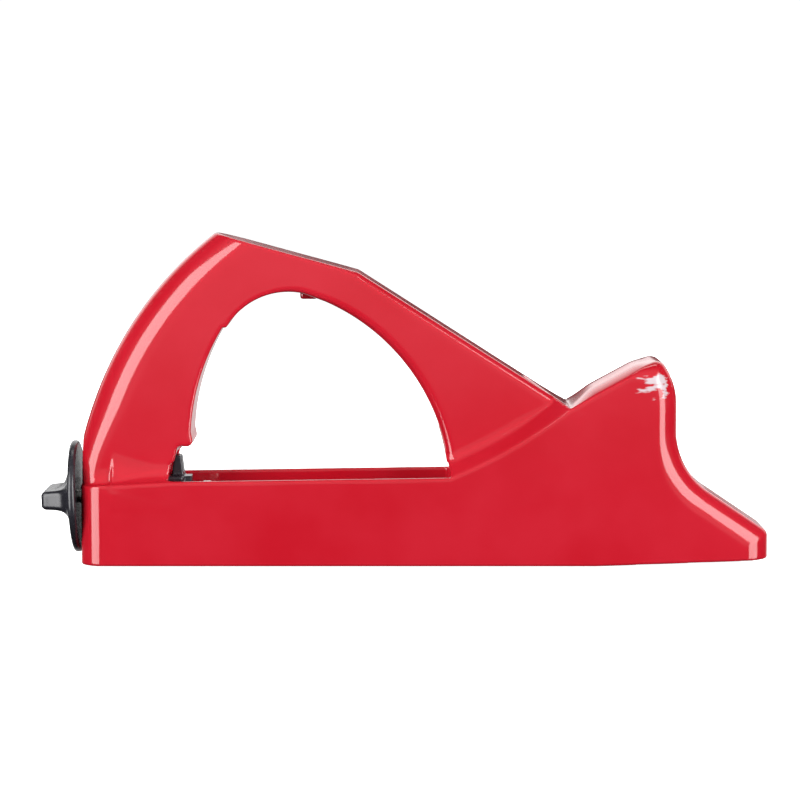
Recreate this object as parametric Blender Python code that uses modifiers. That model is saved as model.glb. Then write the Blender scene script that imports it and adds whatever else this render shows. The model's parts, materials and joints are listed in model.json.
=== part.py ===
"""Hand rasp plane: a cast body with a D-handle and a palm horn, a perforated rasp blade
hooked under its sole, and the screw mechanism that draws the blade tight.

Metres, +Z up. +X points to the toe, -X to the tension knob, and the width runs along Y.
The origin is at the middle of the overall length and width, on the ground under the teeth.
Stations along the tool are measured from the rear face of the base, so station() turns
one into an X coordinate.
"""

import math

import bmesh
import bpy
from mathutils import Matrix, Vector

MM = 0.001
GAP = 0.3 * MM  # between neighbouring pieces

# Base channel
BASE_LENGTH = 294.9 * MM
BASE_HALF_WIDTH = 23.0 * MM
SKIRT_Z = 0.4 * MM  # the teeth stand this far below the skirts
HEEL_TOP_Z = 34.4 * MM
RIM_REAR_Z = 36.6 * MM
RIM_FRONT_Z = 38.3 * MM
TOE_LIFT_STATION = 220.6 * MM  # the sole rises from here to the toe
TOE_LIFT = 2.7 * MM
WALL = 3.2 * MM
REAR_WALL = 4.0 * MM
SKIRT_WALL = 1.7 * MM  # thinner beside the blade, which leaves a ledge above it
BLADE_POCKET_Z = 5.4 * MM
REAR_CORNER_RADIUS = 11.0 * MM
FRONT_EDGE_RADIUS = 9.0 * MM
FRONT_EDGE_STEPS = 4

# Handle
HANDLE_HALF_WIDTH = 16.0 * MM
LEG_RADIUS = 159.4 * MM
LEG_CENTRE = (155.1 * MM, 15.8 * MM)
HANDLE_APEX = (59.2 * MM, 141.9 * MM)
HANDLE_CORNER = (119.2 * MM, 125.6 * MM)
BAR_FOOT = (206.8 * MM, 69.8 * MM)
BAR_OVERRUN = 7.5 * MM  # how far the bar runs on inside the horn
LEG_STRAIGHT = 18.6 * MM  # the leg's rear rises upright this far above the heel
LEG_FOOT_STATION = 38.0 * MM  # front face of the leg at the window rim
LEG_EDGE_RADIUS = 10.0 * MM
TOP_EDGE_RADIUS = 2.0 * MM
BAR_EDGE_RADIUS = 4.0 * MM
LOOP_EDGE_RADIUS = 3.0 * MM

# Hand loop: three arcs, and the notch that clears the carriage
LOOP_REAR_CENTRE = (143.0 * MM, 52.2 * MM)
LOOP_REAR_RADIUS = 95.6 * MM
LOOP_CROWN_CENTRE = (89.5 * MM, 86.5 * MM)
LOOP_CROWN_RADIUS = 30.7 * MM
LOOP_FRONT_CENTRE = (68.9 * MM, 31.0 * MM)
LOOP_FRONT_RADIUS = 89.7 * MM
NOTCH_TOP_Z = 51.2 * MM
NOTCH_LEAN = 4.0 * MM
POCKET_HALF_WIDTH = 10.0 * MM  # under the leg, round the carriage

# Shoulder between the base and the bar, and the palm horn
RAMP_FOOT_STATION = 158.8 * MM
NECK = (210.5 * MM, 68.4 * MM)
SHOULDER_RISE = 6.0 * MM
SHOULDER_SETBACK = 0.1 * MM  # the wedge's foot lies this far in from the base's side
HORN_FRONT_STATION = 255.5 * MM
HORN_TIP_Z = 87.1 * MM
HORN_TIP_RADIUS = 4.0 * MM
HORN_CROWN_RADIUS = 31.0 * MM
HORN_CROWN_Z = 68.5 * MM
SADDLE_SLOPE_DEG = 28.5
HORN_FOOT_RADIUS = 31.5 * MM
HORN_FOOT_Z = 57.8 * MM
NOSE_SLOPE_DEG = 34.0
NOSE_RADIUS = 4.0 * MM

# Rasp blade
BLADE_LENGTH = 250.0 * MM
BLADE_HALF_WIDTH = 21.0 * MM
BLADE_THICKNESS = 0.9 * MM
BLADE_FLANGE_HEIGHT = 4.2 * MM
BLADE_REAR_STATION = 21.0 * MM
SLOT_LENGTH = 8.0 * MM
SLOT_HALF_WIDTH = 6.5 * MM
SLOT_INSET = 4.0 * MM
CUT_PAST = 3.0 * MM  # how far a cutter runs past the face it opens

# Tension screw, M6, on an axis that leans with the rear wall
SCREW_AXIS_Z = 28.1 * MM
SCREW_LEAN_DEG = 2.0
SCREW_RADIUS = 3.0 * MM
SCREW_END = 55.0 * MM
SCREW_HEAD = (3.2 * MM, 15.0 * MM, 5.6 * MM)  # length, width and height of the T-head
SCREW_HEAD_BACK = -11.0 * MM

# Knob
KNOB_FLANGE_RADIUS = 24.3 * MM
KNOB_FLANGE_BACK = -1.3 * MM
KNOB_FLANGE_FRONT = -4.7 * MM
KNOB_FLANGE_EDGE = 1.3 * MM
KNOB_TIP = -16.9 * MM
KNOB_BAR_LENGTH = 36.0 * MM
KNOB_BAR_THICKNESS = 9.0 * MM
KNOB_BAR_TAPER = 0.86  # width and height at the tip over those at the root
KNOB_BAR_ROUNDING = 2.2 * MM

# Thrust washer and retaining clip behind the rear wall, cap at the screw's end
WASHER_RADIUS = 7.0 * MM
WASHER_THICKNESS = 1.2 * MM
WASHER_CLEARANCE = 0.7 * MM  # keeps its tilted rim off the wall
CLIP_RADIUS = 6.0 * MM
CLIP_THICKNESS = 1.0 * MM
CLIP_MOUTH = 4.0 * MM
END_CAP_RADIUS = 4.6 * MM
END_CAP_LENGTH = 4.0 * MM

# Carriage that the screw draws along, with its nut and its hook
CARRIAGE_REAR = 22.0 * MM
CARRIAGE_FRONT = 43.8 * MM
CARRIAGE_HALF_WIDTH = 8.5 * MM
CARRIAGE_TOP_Z = 37.5 * MM
CARRIAGE_BOTTOM_Z = 9.0 * MM
FIN_TOP_Z = 46.0 * MM
FIN_REAR = 38.7 * MM
FIN_HALF_WIDTH = 5.0 * MM
BOSS_LENGTH = 3.5 * MM
BOSS_RADIUS = 8.6 * MM
NUT_ACROSS_FLATS = 10.0 * MM
NUT_THICKNESS = 5.0 * MM
NUT_STATION = 32.0 * MM
HOOK_THICKNESS = 1.6 * MM
HOOK_HALF_WIDTH = 6.0 * MM
RIVET_RADIUS = 1.6 * MM
RIVET_HEAD_RADIUS = 2.8 * MM
RIVET_HEAD_HEIGHT = 1.0 * MM
RIVET_NECK_RADIUS = 2.0 * MM
RIVET_SPACING = 9.0 * MM
RIVET_DEPTH = 4.5 * MM  # above the middle of the hook's plate

# Front anchor under the toe
ANCHOR_BOSS_STATION = 253.0 * MM
ANCHOR_BOSS_LENGTH = 16.0 * MM
ANCHOR_BOSS_Z = 9.0 * MM
ANCHOR_BOSS_TOP_Z = 22.0 * MM
ANCHOR_SCREW_SPACING = 18.0 * MM
ANCHOR_SCREW_RADIUS = 2.0 * MM
ANCHOR_SCREW_DEPTH = 9.0 * MM
ANCHOR_HEAD_RADIUS = 3.6 * MM
ANCHOR_FACE_RADIUS = 2.8 * MM
DRIVE_SLOT_WIDTH = 1.0 * MM
DRIVE_SLOT_DEPTH = 0.9 * MM
ANCHOR_HEAD_HEIGHT = 2.4 * MM
ANCHOR_HALF_WIDTH = 14.0 * MM

KNOB_CAP_X = KNOB_TIP * math.cos(math.radians(SCREW_LEAN_DEG)) - 0.15 * MM
MID_STATION = (BASE_LENGTH + KNOB_CAP_X) / 2
TOE_SLOPE = TOE_LIFT / (BASE_LENGTH - TOE_LIFT_STATION)


def station(s):
    """X coordinate of a station measured from the rear face of the base."""
    return s - MID_STATION


def sole_z(s):
    """Height of the skirts' lower edge at a station."""
    return SKIRT_Z + max(0.0, s - TOE_LIFT_STATION) * TOE_SLOPE


def arc(centre, radius, start_deg, end_deg, steps):
    """Points along an arc, both ends included."""
    points = []
    for i in range(steps + 1):
        angle = math.radians(start_deg + (end_deg - start_deg) * i / steps)
        points.append((centre[0] + radius * math.cos(angle), centre[1] + radius * math.sin(angle)))
    return points


# ---------------------------------------------------------------- building helpers


def clear_scene():
    for obj in list(bpy.data.objects):
        bpy.data.objects.remove(obj, do_unlink=True)


def collection(name):
    made = bpy.data.collections.new(name)
    bpy.context.scene.collection.children.link(made)
    return made


def material(name, color, roughness, metallic):
    made = bpy.data.materials.new(name)
    made.use_nodes = True
    shader = made.node_tree.nodes["Principled BSDF"]
    shader.inputs["Base Color"].default_value = (*color, 1.0)
    shader.inputs["Roughness"].default_value = roughness
    shader.inputs["Metallic"].default_value = metallic
    return made


def new_object(name, mesh, home):
    obj = bpy.data.objects.new(name, mesh)
    home.objects.link(obj)
    return obj


def mesh_object(name, build, home, matrix=None):
    """An object whose mesh is made by build(bm), with matrix baked into it."""
    bm = bmesh.new()
    build(bm)
    if matrix is not None:
        bmesh.ops.transform(bm, matrix=matrix, verts=bm.verts)
    bmesh.ops.recalc_face_normals(bm, faces=bm.faces)
    mesh = bpy.data.meshes.new(name)
    bm.to_mesh(mesh)
    bm.free()
    return new_object(name, mesh, home)


def prism(name, outline, half_width, home):
    """A flat outline of (station, z) points, extruded both ways along Y."""
    curve = bpy.data.curves.new(name, "CURVE")
    curve.dimensions = "2D"
    curve.fill_mode = "BOTH"
    curve.extrude = half_width
    spline = curve.splines.new("POLY")
    spline.points.add(len(outline) - 1)
    for point, (s, z) in zip(spline.points, outline):
        point.co = (station(s), z, 0.0, 1.0)
    spline.use_cyclic_u = True
    flat = bpy.data.objects.new(name + "_outline", curve)
    bpy.context.scene.collection.objects.link(flat)
    flat.rotation_euler = (math.radians(90.0), 0.0, 0.0)
    bpy.context.view_layer.update()
    graph = bpy.context.evaluated_depsgraph_get()
    mesh = bpy.data.meshes.new_from_object(flat.evaluated_get(graph))
    mesh.transform(flat.matrix_world)
    bpy.data.objects.remove(flat, do_unlink=True)
    bm = bmesh.new()
    bm.from_mesh(mesh)
    bmesh.ops.remove_doubles(bm, verts=bm.verts, dist=0.001 * MM)
    bmesh.ops.dissolve_limit(bm, angle_limit=math.radians(0.5), verts=bm.verts, edges=bm.edges)
    bmesh.ops.recalc_face_normals(bm, faces=bm.faces)
    bm.to_mesh(mesh)
    bm.free()
    return new_object(name, mesh, home)


def box(name, low, high, home, matrix=None):
    """A box between two corners; with a matrix, the corners are in its frame."""
    size = Vector(high) - Vector(low)
    middle = (Vector(high) + Vector(low)) / 2
    local = Matrix.Translation(middle) @ Matrix.Diagonal((*size, 1.0))
    if matrix is not None:
        local = matrix @ local
    return mesh_object(name, lambda bm: bmesh.ops.create_cube(bm, size=1.0), home, local)


def rod(name, start, end, radius, home, matrix, segments=32, end_radius=None):
    """A cylinder or cone along the frame's X axis, between two X values."""
    turn = Matrix.Rotation(math.radians(90.0), 4, "Y")
    local = matrix @ Matrix.Translation(((start + end) / 2, 0.0, 0.0)) @ turn

    def build(bm):
        bmesh.ops.create_cone(
            bm,
            cap_ends=True,
            segments=segments,
            radius1=radius,
            radius2=radius if end_radius is None else end_radius,
            depth=abs(end - start),
        )

    return mesh_object(name, build, home, local)


def boolean(obj, tool, operation):
    tool.hide_render = True
    tool.display_type = "WIRE"
    modifier = obj.modifiers.new(tool.name, "BOOLEAN")
    modifier.operation = operation
    modifier.solver = "EXACT"
    modifier.object = tool


def bevel_edges(obj, chosen, segments):
    """Bevel the edges that chosen(a, b) gives a width for, with a and b their ends."""
    widths = [chosen(*(obj.data.vertices[v].co for v in edge.vertices)) for edge in obj.data.edges]
    widest = max(widths)
    weights = obj.data.attributes.new("bevel_weight_edge", "FLOAT", "EDGE")
    weights.data.foreach_set("value", [width / widest for width in widths])
    modifier = obj.modifiers.new("edge_rounding", "BEVEL")
    modifier.limit_method = "WEIGHT"
    modifier.offset_type = "OFFSET"
    modifier.width = widest
    modifier.segments = segments
    modifier.use_clamp_overlap = False


def finish(obj, look):
    obj.data.materials.clear()
    obj.data.materials.append(look)
    obj.data.shade_smooth()
    obj.data.set_sharp_from_angle(angle=math.radians(35.0))


def set_origin(obj, place):
    """Move the object's origin to a point without moving its mesh."""
    obj.data.transform(Matrix.Translation(-Vector(place)))
    obj.location = place


# ---------------------------------------------------------------- outlines


def nose_line_end(inset=0.0):
    """Where the nose's slope meets the arc at the foot of the horn."""
    foot = (HORN_FRONT_STATION + HORN_FOOT_RADIUS, HORN_FOOT_Z)
    angle = 270.0 - NOSE_SLOPE_DEG
    return arc(foot, HORN_FOOT_RADIUS + inset, angle, angle, 1)[0]


def tip_centre(inset):
    """Centre of the tip's arc, which touches the saddle and the crown's arc."""
    saddle = math.radians(SADDLE_SLOPE_DEG)
    along = Vector((math.cos(saddle), math.sin(saddle)))
    below = Vector((math.sin(saddle), -math.cos(saddle))) * HORN_TIP_RADIUS
    crown = Vector((HORN_FRONT_STATION - HORN_CROWN_RADIUS, HORN_CROWN_Z))
    start = Vector(NECK) + below - crown
    reach = HORN_CROWN_RADIUS - inset - HORN_TIP_RADIUS
    ahead = start.dot(along)
    return crown + start + along * (math.sqrt(reach**2 - start.length_squared + ahead**2) - ahead)


def horn_front(inset):
    """Horn tip, crown, front and foot, then the nose down to the toe's lower corner.

    All but the saddle and the sole is moved in by the inset.
    """
    crown = (HORN_FRONT_STATION - HORN_CROWN_RADIUS, HORN_CROWN_Z)
    tip = tip_centre(inset)
    crown_end = math.degrees(math.atan2(tip[1] - crown[1], tip[0] - crown[0]))
    foot = (HORN_FRONT_STATION + HORN_FOOT_RADIUS, HORN_FOOT_Z)
    foot_end = nose_line_end(inset)
    slope = math.radians(NOSE_SLOPE_DEG)
    nose_radius = max(NOSE_RADIUS - inset, 0.0)
    toe = BASE_LENGTH - inset
    nose_s = toe - nose_radius
    line_z = foot_end[1] - math.tan(slope) * (nose_s - foot_end[0])
    nose = (nose_s, line_z - nose_radius / math.cos(slope))
    points = arc(tip, HORN_TIP_RADIUS, 90.0 + SADDLE_SLOPE_DEG, crown_end, 3)
    points += arc(crown, HORN_CROWN_RADIUS - inset, crown_end, 0.0, 4)[1:]
    points += arc(foot, HORN_FOOT_RADIUS + inset, 180.0, 270.0 - NOSE_SLOPE_DEG, 6)
    points += arc(nose, nose_radius, 90.0 - NOSE_SLOPE_DEG, 0.0, 3)
    points.append((toe, sole_z(toe)))
    return points


def base_outline(inset):
    points = [(0.0, SKIRT_Z), (0.0, HEEL_TOP_Z), (LEG_FOOT_STATION, RIM_REAR_Z)]
    points += [(RAMP_FOOT_STATION, RIM_FRONT_Z), NECK]
    points += horn_front(inset)
    points.append((TOE_LIFT_STATION, SKIRT_Z))
    return points


def loop_outline():
    """The hand loop's edge from the notch round to the bar's foot."""
    start = math.degrees(math.asin((NOTCH_TOP_Z - LOOP_REAR_CENTRE[1]) / LOOP_REAR_RADIUS))
    points = arc(LOOP_REAR_CENTRE, LOOP_REAR_RADIUS, 180.0 - start, 148.5, 7)
    points += arc(LOOP_CROWN_CENTRE, LOOP_CROWN_RADIUS, 150.0, 78.0, 6)
    points += arc(LOOP_FRONT_CENTRE, LOOP_FRONT_RADIUS, 66.0, 8.0, 10)
    return points


def handle_outline():
    inside_z = RIM_REAR_Z - 3.0 * MM
    leg_start = 180.0 - math.degrees(math.asin((HEEL_TOP_Z + LEG_STRAIGHT - LEG_CENTRE[1]) / LEG_RADIUS))
    rise = HANDLE_APEX[1] - 2.0 * MM - LEG_CENTRE[1]
    leg_end = 180.0 - math.degrees(math.asin(rise / LEG_RADIUS))
    points = [(0.2 * MM, inside_z)]
    points += arc(LEG_CENTRE, LEG_RADIUS, leg_start, leg_end, 9)
    bar_slope = (HANDLE_CORNER[1] - BAR_FOOT[1]) / (BAR_FOOT[0] - HANDLE_CORNER[0])
    bar_end = (BAR_FOOT[0] + BAR_OVERRUN, BAR_FOOT[1] - BAR_OVERRUN * bar_slope)
    points += [HANDLE_APEX, HANDLE_CORNER, bar_end]
    points += [(bar_end[0] - 2.0 * MM, bar_end[1] - 8.0 * MM)]
    points += [(BAR_FOOT[0] - 2.0 * MM, BAR_FOOT[1] - 18.0 * MM)]
    points += [(RAMP_FOOT_STATION + 6.0 * MM, inside_z), (RAMP_FOOT_STATION, inside_z)]
    points += reversed(loop_outline())
    points += [(LEG_FOOT_STATION + NOTCH_LEAN, NOTCH_TOP_Z), (LEG_FOOT_STATION, inside_z)]
    return points


def cavity_outline():
    """The hollow of the base: under the leg, open through the window, under the horn."""
    slope = math.radians(NOSE_SLOPE_DEG)
    end = nose_line_end()
    nose_s = BASE_LENGTH - WALL
    nose_z = end[1] - math.tan(slope) * (nose_s - end[0]) - WALL / math.cos(slope)
    foot = (HORN_FRONT_STATION + HORN_FOOT_RADIUS, HORN_FOOT_Z)
    ramp = math.atan2(NECK[1] - RIM_FRONT_Z, NECK[0] - RAMP_FOOT_STATION)
    drop = 2.0 * WALL / math.cos(ramp)
    below = -CUT_PAST
    window_front = RAMP_FOOT_STATION - 2.0 * MM
    window_top = RIM_REAR_Z + 6.0 * MM
    points = [(REAR_WALL, below), (REAR_WALL, HEEL_TOP_Z - WALL)]
    points += [(LEG_FOOT_STATION - GAP, HEEL_TOP_Z - WALL), (LEG_FOOT_STATION - GAP, RIM_REAR_Z - 0.5 * MM)]
    points += [(LEG_FOOT_STATION + 2.0 * MM, window_top), (window_front, window_top)]
    points += [(RAMP_FOOT_STATION, RIM_FRONT_Z - drop), (NECK[0], NECK[1] - drop)]
    points += [(HORN_FRONT_STATION - 15.0 * MM, HORN_TIP_Z - 12.0 * MM)]
    points += [(HORN_FRONT_STATION - WALL, HORN_CROWN_Z - 2.0 * MM)]
    points += arc(foot, HORN_FOOT_RADIUS + WALL, 180.0, 270.0 - NOSE_SLOPE_DEG, 4)
    points += [(nose_s, nose_z), (nose_s, below)]
    return points


# ---------------------------------------------------------------- frames


def screw_frame():
    """The tension screw's frame: its X axis runs along the screw, into the base."""
    lean = Matrix.Rotation(math.radians(-SCREW_LEAN_DEG), 4, "Y")
    return Matrix.Translation((station(0.0), 0.0, SCREW_AXIS_Z)) @ lean


def toe_frame(s):
    """A frame on the skirts' lower edge under the toe, with X along the rising sole."""
    lean = Matrix.Rotation(-math.atan(TOE_SLOPE), 4, "Y")
    return Matrix.Translation((station(s), 0.0, sole_z(s))) @ lean


# ---------------------------------------------------------------- body


def on_side(a, b, half_width):
    """True for an edge that lies in a side plane of a prism."""
    near = half_width - 0.01 * MM
    return abs(a.y) > near and abs(b.y) > near and a.y * b.y > 0.0


def base_edge(a, b):
    behind = max(a.x, b.x) < station(0.01 * MM)
    return REAR_CORNER_RADIUS if behind and on_side(a, b, BASE_HALF_WIDTH) else 0.0


def base_form(home):
    """The base's solid, its front edges rounded by outlines that move in towards the sides."""
    rings = []
    for i in range(FRONT_EDGE_STEPS + 1):
        angle = math.radians(90.0 * i / FRONT_EDGE_STEPS)
        inset = FRONT_EDGE_RADIUS * (1.0 - math.cos(angle))
        y = BASE_HALF_WIDTH - FRONT_EDGE_RADIUS * (1.0 - math.sin(angle))
        rings.append((y, inset))
    rings = [(-y, inset) for y, inset in reversed(rings)] + rings

    def build(bm):
        loops = []
        for y, inset in rings:
            loops.append([bm.verts.new((station(s), y, z)) for s, z in base_outline(inset)])
        for near, far in zip(loops, loops[1:]):
            for i in range(len(near)):
                bm.faces.new((near[i - 1], near[i], far[i], far[i - 1]))
        bm.faces.new(loops[0])
        bm.faces.new(reversed(loops[-1]))
        bmesh.ops.remove_doubles(bm, verts=bm.verts, dist=0.001 * MM)
        bmesh.ops.dissolve_limit(bm, angle_limit=math.radians(0.5), verts=bm.verts, edges=bm.edges)

    return mesh_object("body_casting", build, home)


def handle_edge(a, b):
    if not on_side(a, b, HANDLE_HALF_WIDTH):
        return 0.0
    middle = (a + b) / 2
    s = middle.x + MID_STATION
    outside = math.hypot(s - LEG_CENTRE[0], middle.z - LEG_CENTRE[1]) > LEG_RADIUS - 1.5 * MM
    if s < HANDLE_APEX[0] and (outside or s < 0.5 * MM):
        return LEG_EDGE_RADIUS
    in_loop = LEG_FOOT_STATION < s < RAMP_FOOT_STATION and min(a.z, b.z) < 118.0 * MM
    if in_loop and middle.z > RIM_REAR_Z:
        return LOOP_EDGE_RADIUS
    if s < HANDLE_CORNER[0] and middle.z > 118.0 * MM:
        return TOP_EDGE_RADIUS
    if middle.z > BAR_FOOT[1]:
        return BAR_EDGE_RADIUS
    return 0.0


def shoulder_wedge(home):
    """The sloping shoulder along both sides of the bar: wide below, narrow on top."""
    ramp = math.atan2(NECK[1] - RIM_FRONT_Z, NECK[0] - RAMP_FOOT_STATION)
    length = math.hypot(NECK[0] - RAMP_FOOT_STATION, NECK[1] - RIM_FRONT_Z) - 5.0 * MM
    deep = 4.0 * MM
    frame = Matrix.Translation((station(RAMP_FOOT_STATION), 0.0, RIM_FRONT_Z))
    frame = frame @ Matrix.Rotation(-ramp, 4, "Y")

    def build(bm):
        bmesh.ops.create_cube(bm, size=1.0)
        for vertex in bm.verts:
            top = vertex.co.z > 0.0
            half_width = HANDLE_HALF_WIDTH - 1.0 * MM if top else BASE_HALF_WIDTH - SHOULDER_SETBACK
            side = math.copysign(1.0, vertex.co.y)
            vertex.co = (
                (vertex.co.x + 0.5) * length,
                side * half_width,
                SHOULDER_RISE if top else 0.0,
            )
        lower = [face for face in bm.faces if all(v.co.z < 0.01 * MM for v in face.verts)]
        sunk = bmesh.ops.extrude_face_region(bm, geom=lower)
        verts = [item for item in sunk["geom"] if isinstance(item, bmesh.types.BMVert)]
        for vertex in verts:
            vertex.co.z -= deep
            vertex.co.y -= math.copysign(GAP, vertex.co.y)
        bmesh.ops.delete(bm, geom=lower, context="FACES_ONLY")

    return mesh_object("shoulder_wedge", build, home, frame)


def body_casting(home, tools):
    body = base_form(home)
    bevel_edges(body, base_edge, 4)
    handle = prism("handle_form", handle_outline(), HANDLE_HALF_WIDTH, tools)
    bevel_edges(handle, handle_edge, 3)
    boolean(body, handle, "UNION")
    boolean(body, shoulder_wedge(tools), "UNION")

    boolean(body, prism("cavity", cavity_outline(), BASE_HALF_WIDTH - WALL, tools), "DIFFERENCE")
    pocket_rear = BLADE_REAR_STATION - 9.0 * MM
    pocket_front = BASE_LENGTH - 2.0 * WALL
    pocket = [
        (pocket_rear, -CUT_PAST),
        (pocket_rear, BLADE_POCKET_Z),
        (TOE_LIFT_STATION, BLADE_POCKET_Z),
        (pocket_front, BLADE_POCKET_Z + TOE_LIFT),
        (pocket_front, -CUT_PAST),
    ]
    boolean(body, prism("blade_pocket", pocket, BASE_HALF_WIDTH - SKIRT_WALL, tools), "DIFFERENCE")
    leg_front = LEG_FOOT_STATION + 12.0 * MM
    leg_pocket = [
        (REAR_WALL, HEEL_TOP_Z - 2.0 * WALL),
        (REAR_WALL, CARRIAGE_TOP_Z - 1.0 * MM),
        (CARRIAGE_REAR - 4.0 * MM, CARRIAGE_TOP_Z + 1.5 * MM),
        (FIN_REAR - 5.0 * MM, FIN_TOP_Z + 2.5 * MM),
        (leg_front, FIN_TOP_Z + 2.5 * MM),
        (leg_front, HEEL_TOP_Z - 2.0 * WALL),
    ]
    boolean(body, prism("leg_pocket", leg_pocket, POCKET_HALF_WIDTH, tools), "DIFFERENCE")
    hole = rod("screw_hole", -12.0 * MM, REAR_WALL + 6.0 * MM, SCREW_RADIUS + 2 * GAP, tools, screw_frame())
    boolean(body, hole, "DIFFERENCE")

    front = toe_frame(ANCHOR_BOSS_STATION)
    boss = box(
        "anchor_boss",
        (0.0, WALL / 2 - BASE_HALF_WIDTH, ANCHOR_BOSS_Z),
        (ANCHOR_BOSS_LENGTH, BASE_HALF_WIDTH - WALL / 2, ANCHOR_BOSS_TOP_Z),
        tools,
        front,
    )
    boolean(body, boss, "UNION")
    for side in (-1, 1):
        place = front @ anchor_screw_place(side)
        low = ANCHOR_BOSS_Z - CUT_PAST
        top = ANCHOR_BOSS_Z + ANCHOR_SCREW_DEPTH + 1.0 * MM
        thread = rod("anchor_thread", low, top, ANCHOR_SCREW_RADIUS + GAP, tools, place, 16)
        boolean(body, thread, "DIFFERENCE")
    return body


# ---------------------------------------------------------------- blade and its hooks


def blade_outline():
    """The blade's section along the tool: flat sole, then up along the toe's rise."""
    top = BLADE_THICKNESS
    end = BLADE_REAR_STATION + BLADE_LENGTH
    end_z = sole_z(end) - SKIRT_Z
    return [
        (BLADE_REAR_STATION, 0.0),
        (TOE_LIFT_STATION, 0.0),
        (end, end_z),
        (end, end_z + top),
        (TOE_LIFT_STATION, top),
        (BLADE_REAR_STATION, top),
    ]


def rasp_blade(home, tools):
    blade = prism("rasp_blade", blade_outline(), BLADE_HALF_WIDTH, home)
    lower, upper = blade_outline()[:3], blade_outline()[3:]
    raised = lower + [(s, z + BLADE_FLANGE_HEIGHT) for s, z in upper]
    for side in (-1, 1):
        flange = prism("blade_flange", raised, BLADE_THICKNESS / 2, tools)
        flange.data.transform(Matrix.Translation((0.0, side * (BLADE_HALF_WIDTH - BLADE_THICKNESS / 2), 0.0)))
        boolean(blade, flange, "UNION")
    front_slot = BLADE_REAR_STATION + BLADE_LENGTH - SLOT_INSET - SLOT_LENGTH
    for start in (BLADE_REAR_STATION + SLOT_INSET, front_slot):
        low = (station(start), -SLOT_HALF_WIDTH, -CUT_PAST)
        high = (station(start + SLOT_LENGTH), SLOT_HALF_WIDTH, 2 * CUT_PAST)
        boolean(blade, box("blade_slot", low, high, tools), "DIFFERENCE")
    return blade


def rear_hook_station():
    """Rear face of the hook's tongue, in the rear slot of the blade."""
    return BLADE_REAR_STATION + SLOT_INSET + GAP


def blade_hook(home, tools):
    """The carriage's steel hook: a plate under the carriage with its tongue turned down."""
    tongue = rear_hook_station()
    plate_z = CARRIAGE_BOTTOM_Z - GAP
    outline = [
        (tongue, BLADE_THICKNESS * 0.5),
        (tongue, plate_z),
        (CARRIAGE_FRONT, plate_z),
        (CARRIAGE_FRONT, plate_z - HOOK_THICKNESS),
        (tongue + HOOK_THICKNESS, plate_z - HOOK_THICKNESS),
        (tongue + HOOK_THICKNESS, BLADE_THICKNESS * 0.5),
    ]
    hook = prism("blade_hook", outline, HOOK_HALF_WIDTH, home)
    for rivet in rivet_stations():
        place = rivet_place(rivet)
        hole = rod("hook_rivet_hole", -CUT_PAST, CUT_PAST, RIVET_RADIUS + GAP, tools, place, 16)
        boolean(hook, hole, "DIFFERENCE")
    return hook


def rivet_stations():
    middle = (rear_hook_station() + HOOK_THICKNESS + CARRIAGE_FRONT) / 2
    return (middle - RIVET_SPACING / 2, middle + RIVET_SPACING / 2)


def rivet_place(s):
    """A rivet's frame: X runs up, from the middle of the hook's plate."""
    up = Matrix.Rotation(math.radians(-90.0), 4, "Y")
    return Matrix.Translation((station(s), 0.0, CARRIAGE_BOTTOM_Z - GAP - HOOK_THICKNESS / 2)) @ up


def hook_rivet(name, s, home, tools):
    """A rivet with its head under the hook's plate and its shank in the carriage."""
    frame = rivet_place(s)
    under = -HOOK_THICKNESS / 2 - GAP
    low = under - RIVET_HEAD_HEIGHT
    rivet = rod(name, under - 0.2 * MM, RIVET_DEPTH, RIVET_RADIUS, home, frame, 16)
    head = rod(name + "_head", low, under, RIVET_NECK_RADIUS, tools, frame, 16, RIVET_HEAD_RADIUS)
    boolean(rivet, head, "UNION")
    return rivet


# ---------------------------------------------------------------- front anchor


def anchor_screw_place(side):
    """An anchor screw's frame in the toe frame: X runs up."""
    up = Matrix.Rotation(math.radians(-90.0), 4, "Y")
    middle = ANCHOR_BOSS_LENGTH / 2
    return Matrix.Translation((middle, side * ANCHOR_SCREW_SPACING / 2, 0.0)) @ up


def anchor_plate(home, tools):
    """Steel plate under the toe with its front edge turned down as the blade's front hook."""
    frame = toe_frame(ANCHOR_BOSS_STATION)
    high = ANCHOR_BOSS_Z - GAP
    low = high - HOOK_THICKNESS
    slot_front = BLADE_REAR_STATION + BLADE_LENGTH - SLOT_INSET - ANCHOR_BOSS_STATION
    tongue = slot_front - GAP - HOOK_THICKNESS
    front = tongue + HOOK_THICKNESS
    plate_low = (0.0, -ANCHOR_HALF_WIDTH, low)
    plate_high = (front, ANCHOR_HALF_WIDTH, high)
    plate = box("anchor_plate", plate_low, plate_high, home, frame)
    foot_low = (tongue, -HOOK_HALF_WIDTH, 0.0)
    foot_high = (front, HOOK_HALF_WIDTH, low + 0.5 * MM)
    boolean(plate, box("anchor_tongue", foot_low, foot_high, tools, frame), "UNION")
    for side in (-1, 1):
        place = frame @ anchor_screw_place(side)
        start, end = low - CUT_PAST, high + CUT_PAST
        hole = rod("anchor_hole", start, end, ANCHOR_SCREW_RADIUS + GAP, tools, place, 16)
        boolean(plate, hole, "DIFFERENCE")
    return plate


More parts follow.
